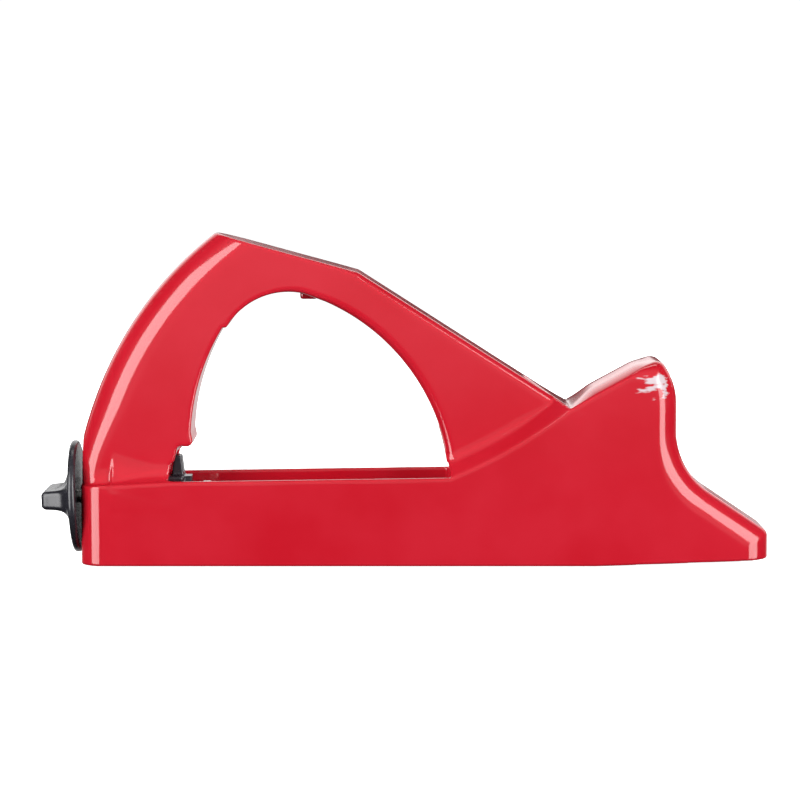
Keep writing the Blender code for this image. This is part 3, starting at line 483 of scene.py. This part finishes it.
def casting_field():
    base_flat = Outline(base_outline())
    handle_flat = Outline(handle_outline())
    loop_flat = Outline(loop_outline())
    hollow_flat = Outline(cavity_outline())

    def field(s, y, z):
        loop = loop_flat(s, z)
        outer = handle_flat(s, z)
        front = smoothstep(233.0, 252.0, s)
        corner = rear_corner(s, y)
        base = base_form(s, y, z, base_flat, front, corner)
        solid = join(base, shoulder(s, y, z, outer, loop), 0.8)
        solid = set_on_base(solid, handle_form(s, y, z, outer, loop), corner, s, z)
        solid = np.maximum(np.maximum(solid, corner), -s)

        hollow = slab(hollow_flat(s, z), y, HALF_WIDTH - WALL, 1.5 + 6.5 * front)
        solid = cut(solid, np.maximum(hollow, corner + WALL), 0.8)
        solid = join(solid, anchor_web(s, y, z), 1.5)
        solid = np.maximum(solid, np.abs(y) - HALF_WIDTH)
        for pocket, edge in pockets(s, y, z):
            solid = cut(solid, pocket, edge)
        return meet(solid, sole_height(s) - z, 0.6)

    return field


# ---------------------------------------------------------------- tension mechanism


def knob_field(s, y, z):
    """A dished flange with a thick tapered grip bar across it."""
    along, across, height = screw_coordinates(s, y, z)
    flange = disc(along, across, -4.5, FLANGE_FRONT, 24.2, 1.4)
    hub = disc(along, across, -6.4, FLANGE_FRONT, 11.0, 1.4)
    narrowing = 0.14
    taper = 1.0 - narrowing * smoothstep(-4.0, -17.0, along)
    bar = round_box(along, y / taper, height / taper, (KNOB_TIP, -18.0, -4.6), (-3.0, 18.0, 4.6), 2.2)
    knob = join(join(flange, hub, 3.0), bar * (1.0 - narrowing), 6.0)
    knob = np.maximum(knob, along - FLANGE_FRONT)
    head = round_box(along, y, height, (-11.3, -7.8, -3.1), (-7.5, 7.8, 3.1), 0.2)
    bore = np.maximum(across - BORE, -10.0 - along)
    return cut(knob, np.minimum(head, bore), 0.2)


def screw_field(s, y, z):
    """M6 screw: a T-head, a plain neck and a rolled thread."""
    along, across, height = screw_coordinates(s, y, z)
    angle = np.arctan2(height, y)
    turn = (along - angle / (2.0 * math.pi)) % 1.0
    crest = 1.0 - np.abs(turn - 0.5) * 2.0
    threaded = smoothstep(6.0, 7.0, along) * (1.0 - smoothstep(SCREW_END - 1.5, SCREW_END, along))
    groove = 0.62
    radius = 2.95 - threaded * groove * (1.0 - smoothstep(0.12, 0.88, crest))
    radius = radius - 0.5 * smoothstep(SCREW_END - 1.2, SCREW_END, along)
    shank = np.maximum((across - radius) * 0.6, np.maximum(-9.0 - along, along - SCREW_END))
    head = round_box(along, y, height, (-11.0, -7.5, -2.8), (-7.8, 7.5, 2.8), 0.4)
    return np.minimum(shank, head)


def ring_field(start, thickness, radius, split):
    """A washer on the screw, or a clip that is open below, with a notch on each side."""

    def field(s, y, z):
        along, across, height = screw_coordinates(s, y, z)
        ring = disc(along, across, start, start + thickness, radius, 0.2)
        ring = cut(ring, across - BORE, 0.2)
        if split:
            low, high = (start - 2.0, -2.0, -radius - 3.0), (start + 3.0, 2.0, 0.0)
            ring = cut(ring, round_box(along, y, height, low, high, 0.1), 0.3)
            ring = cut(ring, np.hypot(np.abs(y) - 3.6, height + 0.2) - 0.8, 0.2)
        return ring

    return field


def end_cap_field(s, y, z):
    """A domed push-on cap with a thin brim."""
    along, across, _ = screw_coordinates(s, y, z)
    start = SCREW_END - 3.0
    cap = disc(along, across, start, start + 4.0, 4.6, 1.3)
    cap = join(cap, disc(along, across, start, start + 0.8, 4.6, 0.3), 0.5)
    return cut(cap, np.maximum(across - BORE, along - SCREW_END - 0.3), 0.2)


def carriage_field():
    """The moulded block on the screw: a fin on top, a hexagonal boss and a slot for the nut."""
    low, high = CARRIAGE_LOW, CARRIAGE_HIGH
    front = low.x + 21.8
    half = 8.5
    fin = Outline(
        [(front - 6.0, 30.0), (front - 4.4, high.z - 0.6), (front - 3.7, high.z)]
        + [(front - 1.7, high.z), (front - 1.1, high.z - 0.8), (front + 0.3, 34.5), (front + 0.3, 30.0)]
    )

    def field(s, y, z):
        along, across, height = screw_coordinates(s, y, z)
        block = round_box(s, y, z, (low.x, -half, low.z), (front, half, 37.5), 1.2)
        sides = round_box(s, np.abs(y), z, (low.x + 3.0, 7.6, low.z + 4.0), (front - 3.0, 12.0, 33.0), 0.6)
        block = cut(block, sides, 0.4)
        rib = round_box(s, y, z, (low.x + 9.2, -half, low.z), (low.x + 11.2, half, 37.0), 0.5)
        block = join(block, rib, 0.8)
        block = join(block, slab(fin(s, z), y, 5.0, 0.6), 1.2)
        flats = np.abs(height)
        for tilt in (60.0, -60.0):
            c, d = math.cos(math.radians(tilt)), math.sin(math.radians(tilt))
            flats = np.maximum(flats, np.abs(height * c + y * d))
        boss = np.maximum(meet(flats - 7.4, across - 8.5, 0.3), np.abs(along - (front + 0.5)) - 3.0)
        block = join(block, boss, 0.6)
        play = 0.3
        slot_half = NUT_HALF + play
        slot_low = (NUT_START - play, -slot_half, -slot_half)
        slot_high = (NUT_START + NUT_LENGTH + play, slot_half, 20.0)
        block = cut(block, round_box(along, y, height, slot_low, slot_high, 0.2), 0.4)
        return cut(block, across - BORE, 0.3)

    return field


def nut_field(s, y, z):
    along, across, height = screw_coordinates(s, y, z)
    low = (NUT_START, -NUT_HALF, -NUT_HALF)
    high = (NUT_START + NUT_LENGTH, NUT_HALF, NUT_HALF)
    nut = round_box(along, y, height, low, high, 0.4)
    return cut(nut, across - 3.1, 0.3)


def rivet_field(low, high):
    """A rivet in the box between two corners, its domed head at the bottom."""
    centre = (low.x + high.x) / 2
    head = 1.0

    def field(s, y, z):
        across = np.hypot(s - centre, y)
        shank = disc(z, across, low.z + 0.6, high.z, 1.6, 0.2)
        dome = np.sqrt(across**2 + ((z - low.z - head) * 2.4) ** 2) - 2.75
        return join(shank, np.maximum(dome * 0.5, np.maximum(z - low.z - head, low.z - z)), 0.2)

    return field


def hook_field(low, high, rivets):
    """A plate with its rear edge turned down, and a hole for each rivet."""
    steel = 1.6

    def field(s, y, z):
        plate = round_box(s, y, z, (low.x, low.y, high.z - steel), (high.x, high.y, high.z), 0.35)
        tongue = round_box(s, y, z, (low.x, low.y, low.z), (low.x + steel, high.y, high.z), 0.35)
        hook = join(plate, tongue, 1.4)
        for centre in rivets:
            hook = cut(hook, np.hypot(s - centre, y) - 1.9, 0.2)
        return hook

    return field


def toe_coordinates(s, z):
    """Coordinates square to the rising sole under the toe."""
    lean = math.atan(TOE_RISE / (LENGTH - TOE_RISE_START))
    s, z = s - ANCHOR_START, z - float(sole_height(np.array(ANCHOR_START)))
    return s * math.cos(lean) + z * math.sin(lean), z * math.cos(lean) - s * math.sin(lean)


def anchor_plate_field(s, y, z):
    """A plate under the toe with its front edge turned down, and two screw holes."""
    along, high = toe_coordinates(s, z)
    plate = round_box(along, y, high, (0.0, -14.0, 7.1), (13.7, 14.0, 8.7), 0.4)
    tongue = round_box(along, y, high, (12.1, -6.0, 0.0), (13.7, 6.0, 8.7), 0.4)
    plate = join(plate, tongue, 1.2)
    for side in (-1.0, 1.0):
        hole = np.hypot(along - ANCHOR_SCREW_ALONG, y - side * ANCHOR_SCREW_ACROSS) - 2.3
        plate = cut(plate, hole, 0.2)
    return plate


def anchor_screw_field(side):
    """A pan-head screw with a driver slot."""

    def field(s, y, z):
        along, high = toe_coordinates(s, z)
        along, y = along - ANCHOR_SCREW_ALONG, y - side * ANCHOR_SCREW_ACROSS
        across = np.hypot(along, y)
        shank = disc(high, across, 6.0, 18.0, 1.95, 0.3)
        dome = np.sqrt(across**2 + ((high - 6.8) * 1.45) ** 2) - 3.5
        head = meet(dome, high - 6.75, 0.2)
        screw = join(shank, np.maximum(head, 4.4 - high), 0.2)
        drive = round_box(along, y, high, (-5.0, -0.5, 3.0), (5.0, 0.5, 5.3), 0.05)
        return cut(screw, drive, 0.15)

    return field


# ---------------------------------------------------------------- blade


def blade_z(s):
    """Height of the strip's lower face: flat, then along the rising toe."""
    tooth = 0.45
    return float(sole_height(np.array(s))) - SKIRT + tooth


def blade_vertex(bm, s, y, lift):
    """A vertex of the blade, lifted above the strip's lower face."""
    return bm.verts.new((s, y, blade_z(s) + lift))


def cell_plate(bm, s, y, length, width):
    """One cell of the rasp: a rectangle of strip round a hole."""
    hole, rim = [], []
    for i in range(HOLE_SIDES):
        angle = 2.0 * math.pi * (i + 0.5) / HOLE_SIDES
        c, d = math.cos(angle), math.sin(angle)
        reach = max(abs(c), abs(d))
        hole.append((s + 0.27 * length * c, y + 0.3 * width * d))
        rim.append((s + 0.5 * length * c / reach, y + 0.5 * width * d / reach))
    quarters = [(1, 1), (-1, 1), (-1, -1), (1, -1)]
    corners = [(s + 0.5 * length * a, y + 0.5 * width * b) for a, b in quarters]
    layers = []
    for lift in (0.0, BLADE_STRIP):
        inner, outer, corner = (
            [blade_vertex(bm, *place, lift) for place in places] for places in (hole, rim, corners)
        )
        for i in range(HOLE_SIDES):
            j = (i + 1) % HOLE_SIDES
            between = [corner[i // 2]] if i % 2 == 0 else []
            face = [outer[i], *between, outer[j], inner[j], inner[i]]
            bm.faces.new(face if lift else face[::-1])
        layers.append(inner)
    lower, upper = layers
    for i in range(HOLE_SIDES):
        j = (i + 1) % HOLE_SIDES
        bm.faces.new([lower[i], lower[j], upper[j], upper[i]])


def tooth(bm, s, y, length, width):
    """A lip curled down behind the hole, with its edge at the ground."""
    at = s - 0.1 * length
    rows = []
    for i in range(TOOTH_STEPS + 1):
        place = i / TOOTH_STEPS - 0.5
        across = 0.62 * width * place
        drop = 0.45 * math.sqrt(math.cos(place * math.pi)) if 0 < i < TOOTH_STEPS else 0.02
        root = blade_vertex(bm, s - 0.37 * length, y + across, 0.0)
        edge = blade_vertex(bm, at, y + 0.9 * across, -drop)
        back = bm.verts.new((at - 0.25, y + 0.9 * across, blade_z(at) - drop + 0.3))
        rows.append((root, edge, back))
    for (root, edge, back), (next_root, next_edge, next_back) in zip(rows, rows[1:]):
        bm.faces.new([root, next_root, next_edge, edge])
        bm.faces.new([edge, next_edge, next_back, back])
        bm.faces.new([back, next_back, next_root, root])


def blade_strip(bm, stations, side_a, side_b, thickness):
    """A closed strip that follows the sole over the given stations."""
    y_low, y_high = sorted((side_a, side_b))
    rows = []
    for s in stations:
        section = [(y_low, 0.0), (y_high, 0.0), (y_high, thickness), (y_low, thickness)]
        rows.append([blade_vertex(bm, s, y, lift) for y, lift in section])
    for a, b in zip(rows, rows[1:]):
        for i in range(4):
            j = (i + 1) % 4
            bm.faces.new([a[i], b[i], b[j], a[j]])
    bm.faces.new(rows[0][::-1])
    bm.faces.new(rows[-1])


def blade_end(bm, first, last, slot):
    """The plain end of the blade, with the slot that a hook's tongue sits in."""
    side = BLADE_HIGH.y - BLADE_MARGIN
    for stations in ((first, slot[0]), (slot[1], last)):
        blade_strip(bm, stations, -side, side, BLADE_STRIP)
    for sign in (-1.0, 1.0):
        blade_strip(bm, slot, sign * SLOT_HALF, sign * side, BLADE_STRIP)


def rasp_blade():
    """The blade: rows of toothed cells between two plain ends and two folded edges."""
    bm = bmesh.new()
    low, high = BLADE_LOW, BLADE_HIGH
    side = high.y - BLADE_MARGIN
    plain_end, cell_length, cell_width = 16.0, 4.0, 4.2
    start, end = low.x + plain_end, high.x - plain_end
    columns = int((end - start) // cell_length)
    rows = int(2 * side // cell_width)
    length, width = (end - start) / columns, 2 * side / rows
    for i in range(columns):
        for j in range(rows):
            s = start + (i + 0.5) * length
            y = -side + (j + 0.5) * width
            cell_plate(bm, s, y, length, width)
            tooth(bm, s, y, length, width)
    line = [start + i * length for i in range(columns + 1)]
    line = sorted({low.x, TOE_RISE_START, high.x, *line})
    fold = high.y - BLADE_STRIP
    for sign in (-1.0, 1.0):
        blade_strip(bm, line, sign * side, sign * fold, BLADE_STRIP)
        blade_strip(bm, line, sign * fold, sign * high.y, BLADE_FLANGE)
    blade_end(bm, low.x, start, (low.x + 4.0, low.x + 12.0))
    blade_end(bm, end, high.x, (high.x - 12.0, high.x - 4.0))
    bmesh.ops.transform(bm, matrix=Matrix.Translation(ORIGIN) @ Matrix.Scale(MM, 4), verts=bm.verts)
    mesh = bpy.data.meshes.new("rasp_blade_teeth")
    bm.to_mesh(mesh)
    bm.free()
    obj = bpy.data.objects.new("rasp_blade_teeth", mesh)
    bpy.context.scene.collection.objects.link(obj)
    return obj


# ---------------------------------------------------------------- materials


def shader_material(name):
    made = bpy.data.materials.new(name)
    made.use_nodes = True
    nodes, links = made.node_tree.nodes, made.node_tree.links
    return made, nodes, links, nodes["Principled BSDF"]


def noise(nodes, links, scale, detail, stretch=(1.0, 1.0, 1.0)):
    """A noise texture in object space, with scale in features a metre."""
    place = nodes.new("ShaderNodeTexCoord")
    mapping = nodes.new("ShaderNodeMapping")
    mapping.inputs["Scale"].default_value = stretch
    texture = nodes.new("ShaderNodeTexNoise")
    texture.inputs["Scale"].default_value = scale
    texture.inputs["Detail"].default_value = detail
    links.new(place.outputs["Object"], mapping.inputs["Vector"])
    links.new(mapping.outputs["Vector"], texture.inputs["Vector"])
    return texture.outputs["Fac"]


def ramp(nodes, links, value, stops):
    """A colour ramp over a value; stops are (place, colour) pairs."""
    made = nodes.new("ShaderNodeValToRGB")
    elements = made.color_ramp.elements
    while len(elements) < len(stops):
        elements.new(0.5)
    for element, (place, color) in zip(elements, stops):
        element.position = place
        element.color = (*color, 1.0)
    links.new(value, made.inputs["Fac"])
    return made.outputs["Color"]


def spread(nodes, links, value, low, high):
    """A value between low and high that follows a noise."""
    made = nodes.new("ShaderNodeMapRange")
    made.inputs["From Min"].default_value = 0.3
    made.inputs["From Max"].default_value = 0.7
    made.inputs["To Min"].default_value = low
    made.inputs["To Max"].default_value = high
    links.new(value, made.inputs["Value"])
    return made.outputs["Result"]


def bump(nodes, links, height, strength, distance, below=None):
    made = nodes.new("ShaderNodeBump")
    made.inputs["Strength"].default_value = strength
    made.inputs["Distance"].default_value = distance
    links.new(height, made.inputs["Height"])
    if below is not None:
        links.new(below, made.inputs["Normal"])
    return made.outputs["Normal"]


def painted_highlight_patch(nodes, links, centre, size):
    """Ragged streaks inside an ellipsoid, 1 where a pale painted highlight goes into the paint colour;
    metres.
    """
    place = nodes.new("ShaderNodeTexCoord")
    mapping = nodes.new("ShaderNodeMapping")
    mapping.inputs["Scale"].default_value = [1.0 / reach for reach in size]
    mapping.inputs["Location"].default_value = [-at / reach for at, reach in zip(centre, size)]
    patch = nodes.new("ShaderNodeTexGradient")
    patch.gradient_type = "SPHERICAL"
    links.new(place.outputs["Object"], mapping.inputs["Vector"])
    links.new(mapping.outputs["Vector"], patch.inputs["Vector"])
    ragged = nodes.new("ShaderNodeMath")
    ragged.operation = "MULTIPLY_ADD"
    ragged.inputs[1].default_value = 1.8
    links.new(noise(nodes, links, 260.0, 3.0, (0.45, 1.0, 1.6)), ragged.inputs[0])
    links.new(patch.outputs["Fac"], ragged.inputs[2])
    edge = nodes.new("ShaderNodeMapRange")
    edge.interpolation_type = "SMOOTHSTEP"
    edge.inputs["From Min"].default_value = 1.38
    edge.inputs["From Max"].default_value = 1.62
    links.new(ragged.outputs["Value"], edge.inputs["Value"])
    return edge.outputs["Result"]


def red_paint():
    """Gloss enamel on a casting: faint orange peel over slow waves, small colour drift, and a pale painted
    highlight on the horn's front corner.
    """
    made, nodes, links, shader = shader_material("red_paint_gloss")
    drift = noise(nodes, links, 24.0, 3.0)
    red = ramp(nodes, links, drift, [(0.35, (0.44, 0.0062, 0.0160)), (0.65, (0.47, 0.0110, 0.0235))])
    # Painted highlight: a pale ragged patch mixed into the base colour at the horn's front corner stands in
    # for the lamps' reflection there; it is not wear.
    horn_corner = ORIGIN + Vector((HORN_FRONT - 9.5, -HALF_WIDTH + 1.5, 78.5)) * MM
    highlight_mix = nodes.new("ShaderNodeMix")
    highlight_mix.data_type = "RGBA"
    links.new(painted_highlight_patch(nodes, links, horn_corner, (0.014, 0.009, 0.009)), highlight_mix.inputs["Factor"])
    links.new(red, highlight_mix.inputs["A"])
    highlight_mix.inputs["B"].default_value = (0.56, 0.46, 0.49, 1.0)
    links.new(highlight_mix.outputs["Result"], shader.inputs["Base Color"])
    links.new(spread(nodes, links, noise(nodes, links, 60.0, 4.0), 0.08, 0.13), shader.inputs["Roughness"])
    waves = bump(nodes, links, noise(nodes, links, 45.0, 1.0), 0.12, 0.0006)
    peel = bump(nodes, links, noise(nodes, links, 900.0, 2.0), 0.1, 0.00006, waves)
    links.new(peel, shader.inputs["Normal"])
    shader.inputs["IOR"].default_value = 1.5
    return made


def black_plastic():
    """Satin moulding with a fine spark-eroded grain."""
    made, nodes, links, shader = shader_material("black_plastic_satin")
    cloud = noise(nodes, links, 90.0, 3.0)
    links.new(
        ramp(nodes, links, cloud, [(0.35, (0.015, 0.0145, 0.019)), (0.65, (0.023, 0.022, 0.029))]),
        shader.inputs["Base Color"],
    )
    links.new(spread(nodes, links, noise(nodes, links, 400.0, 3.0), 0.22, 0.3), shader.inputs["Roughness"])
    links.new(bump(nodes, links, noise(nodes, links, 2600.0, 2.0), 0.25, 0.00005), shader.inputs["Normal"])
    return made


def metal(name, dark, bright, rough, stretch=(1.0, 1.0, 1.0)):
    """Steel with fine drawn lines and a slightly uneven finish."""
    made, nodes, links, shader = shader_material(name)
    shader.inputs["Metallic"].default_value = 1.0
    cloud = noise(nodes, links, 220.0, 4.0)
    links.new(ramp(nodes, links, cloud, [(0.3, dark), (0.7, bright)]), shader.inputs["Base Color"])
    lines = noise(nodes, links, 1400.0, 3.0, stretch)
    links.new(spread(nodes, links, lines, rough - 0.07, rough + 0.1), shader.inputs["Roughness"])
    links.new(bump(nodes, links, lines, 0.2, 0.00005), shader.inputs["Normal"])
    return made


# ---------------------------------------------------------------- stage


def softbox(name, place, target, width, height, radiance, diffuse=True, glossy=True):
    """A rectangular lamp whose surface has the given radiance."""
    light = bpy.data.lights.new(name, "AREA")
    light.shape = "RECTANGLE"
    light.size, light.size_y = width, height
    light.energy = radiance * width * height * math.pi
    obj = bpy.data.objects.new(name, light)
    obj.location = place
    obj.rotation_euler = (Vector(target) - Vector(place)).to_track_quat("-Z", "Y").to_euler()
    obj.visible_camera = False
    obj.visible_diffuse = diffuse
    obj.visible_glossy = glossy
    bpy.context.scene.collection.objects.link(obj)


def studio_world():
    """White behind; what the gloss reflects is a bright backdrop above a dim horizon."""
    world = bpy.data.worlds.new("studio")
    world.use_nodes = True
    bpy.context.scene.world = world
    nodes, links = world.node_tree.nodes, world.node_tree.links
    path = nodes.new("ShaderNodeLightPath")
    place = nodes.new("ShaderNodeTexCoord")
    split = nodes.new("ShaderNodeSeparateXYZ")
    links.new(place.outputs["Generated"], split.inputs["Vector"])

    def band(axis, start, end, low, high):
        made = nodes.new("ShaderNodeMapRange")
        made.interpolation_type = "SMOOTHSTEP"
        made.inputs["From Min"].default_value = start
        made.inputs["From Max"].default_value = end
        made.inputs["To Min"].default_value = low
        made.inputs["To Max"].default_value = high
        links.new(split.outputs[axis], made.inputs["Value"])
        return made.outputs["Result"]

    def mix(kind, first, second):
        made = nodes.new("ShaderNodeMix")
        made.data_type = "FLOAT"
        links.new(path.outputs[kind], made.inputs["Factor"])
        for socket, value in (("A", first), ("B", second)):
            if isinstance(value, float):
                made.inputs[socket].default_value = value
            else:
                links.new(value, made.inputs[socket])
        return made.outputs["Result"]

    def combine(kind, first, second):
        made = nodes.new("ShaderNodeMath")
        made.operation = kind
        links.new(first, made.inputs[0])
        links.new(second, made.inputs[1])
        return made.outputs["Value"]

    screen = combine("ADD", band("Z", 0.075, 0.105, 0.015, 1.0), band("Z", -0.07, -0.03, 0.45, 0.0))
    backdrop = combine("MULTIPLY", band("Y", 0.55, 0.9, 0.0, 1.5), screen)
    room = combine("MULTIPLY", band("Y", -0.6, 0.1, 1.0, 0.06), band("Z", -0.125, -0.06, 0.06, 0.7))
    gloss = combine("ADD", backdrop, room)
    strength = mix("Is Camera Ray", mix("Is Glossy Ray", 0.06, gloss), 1.05)
    shade = nodes["Background"]
    shade.inputs["Color"].default_value = (1.0, 1.0, 1.0, 1.0)
    links.new(strength, shade.inputs["Strength"])


def floor():
    """The floor that the object stands on, as stage dressing."""
    bm = bmesh.new()
    bmesh.ops.create_grid(bm, x_segments=1, y_segments=1, size=6.0)
    mesh = bpy.data.meshes.new("floor")
    bm.to_mesh(mesh)
    bm.free()
    obj = bpy.data.objects.new("floor", mesh)
    bpy.context.scene.collection.objects.link(obj)
    made, nodes, links, shader = shader_material("floor_white")
    grain = noise(nodes, links, 8.0, 2.0)
    links.new(
        ramp(nodes, links, grain, [(0.3, (0.88, 0.88, 0.88)), (0.7, (0.9, 0.9, 0.9))]),
        shader.inputs["Base Color"],
    )
    shader.inputs["Roughness"].default_value = 0.9
    shader.inputs["Specular IOR Level"].default_value = 0.0
    shader.inputs["Emission Color"].default_value = (1.0, 1.0, 1.0, 1.0)
    shader.inputs["Emission Strength"].default_value = 1.0
    mesh.materials.append(made)
    obj.visible_glossy = False
    obj.visible_diffuse = False


def camera():
    """The photo's viewpoint: 1.25 m away, above the handle and looking a little down."""
    lens = bpy.data.cameras.new("camera")
    lens.sensor_width = 36.0
    lens.lens = 130.62
    lens.clip_end = 50.0
    down = 5.298
    obj = bpy.data.objects.new("camera", lens)
    obj.location = ORIGIN + Vector((0.1371, -1.25, 0.1856))
    obj.rotation_euler = (math.radians(90.0 - down), 0.0, 0.0)
    bpy.context.scene.collection.objects.link(obj)
    bpy.context.scene.camera = obj


def stage():
    """Two tall softboxes in front, two for light from behind, and a thin one overhead."""
    studio_world()
    floor()
    camera()
    distance, height, width, tall = 1.2, 0.35, 0.85, 1.4
    angle = math.radians(48.5)
    for side in (-1.0, 1.0):
        place = Vector((side * distance * math.sin(angle), -distance * math.cos(angle), height))
        target = (0.0, 0.0, height)
        softbox("side_softbox", place, target, width, tall, 7.4)
        behind = place * Vector((1.0, -1.0, 1.0))
        softbox("back_softbox", behind, target, width, tall, 5.5, glossy=False)
    softbox("overhead", (0.0, 0.5, 1.6), (0.0, 0.0, 0.05), 1.0, 0.3, 4.0, diffuse=False)
    bpy.context.scene.view_settings.view_transform = "Standard"


# ---------------------------------------------------------------- assembly


def dress(obj, look, body, node):
    """Give a finished piece its material, and put it in its CAD node's place."""
    obj.data.materials.clear()
    obj.data.materials.append(look)
    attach(obj, body)
    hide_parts(node)


def screw_start(node):
    """Where a ring on the screw starts, measured along the screw."""
    low, high = node_box(node)
    along = ((low + high) / 2 - SCREW_POINT).dot(SCREW_AXIS)
    lean = abs(SCREW_AXIS.z) * (high.z - low.z)
    return along - ((high.x - low.x) - lean) / 2


def rivet_station(node):
    low, high = node_box(node)
    return (low.x + high.x) / 2


def build():
    """Every piece, as its CAD node, field, mesh step in millimetres, material and body."""
    paint = red_paint()
    plastic = black_plastic()
    zinc = metal("zinc_plate", (0.55, 0.55, 0.53), (0.75, 0.75, 0.72), 0.3)
    steel = metal("plain_steel", (0.42, 0.42, 0.43), (0.62, 0.62, 0.63), 0.3)
    rasp = metal("rasp_steel", (0.22, 0.23, 0.25), (0.42, 0.43, 0.45), 0.34, (0.06, 1.0, 1.0))
    clip = ring_field(screw_start("retaining_clip"), 1.0, 6.0, True)
    washer = ring_field(screw_start("thrust_washer"), 1.2, 7.0, False)
    rivets = ("hook_rivet_rear", "hook_rivet_front")
    hook = hook_field(*node_box("blade_hook"), [rivet_station(node) for node in rivets])

    pieces = [
        ("body_casting", casting_field(), 0.8, paint, "plane_body"),
        ("tension_knob", knob_field, 0.45, plastic, "knob"),
        ("tension_screw", screw_field, 0.2, zinc, "knob"),
        ("retaining_clip", clip, 0.2, steel, "knob"),
        ("screw_end_cap", end_cap_field, 0.25, zinc, "knob"),
        ("thrust_washer", washer, 0.25, zinc, "plane_body"),
        ("tension_carriage", carriage_field(), 0.35, plastic, "carriage"),
        ("tension_nut", nut_field, 0.25, zinc, "carriage"),
        ("blade_hook", hook, 0.3, zinc, "carriage"),
    ]
    pieces += [(node, rivet_field(*node_box(node)), 0.2, steel, "carriage") for node in rivets]
    pieces += [
        ("anchor_plate", anchor_plate_field, 0.35, zinc, "plane_body"),
        ("anchor_screw_right", anchor_screw_field(-1.0), 0.25, steel, "plane_body"),
        ("anchor_screw_left", anchor_screw_field(1.0), 0.25, steel, "plane_body"),
    ]
    for node, field, step, look, body in pieces:
        low, high = node_box(node)
        obj = field_piece(node + "_finished", field, low, high, step)
        dress(obj, look, body, node)
    dress(rasp_blade(), rasp, "plane_body", "rasp_blade")


build()
stage()
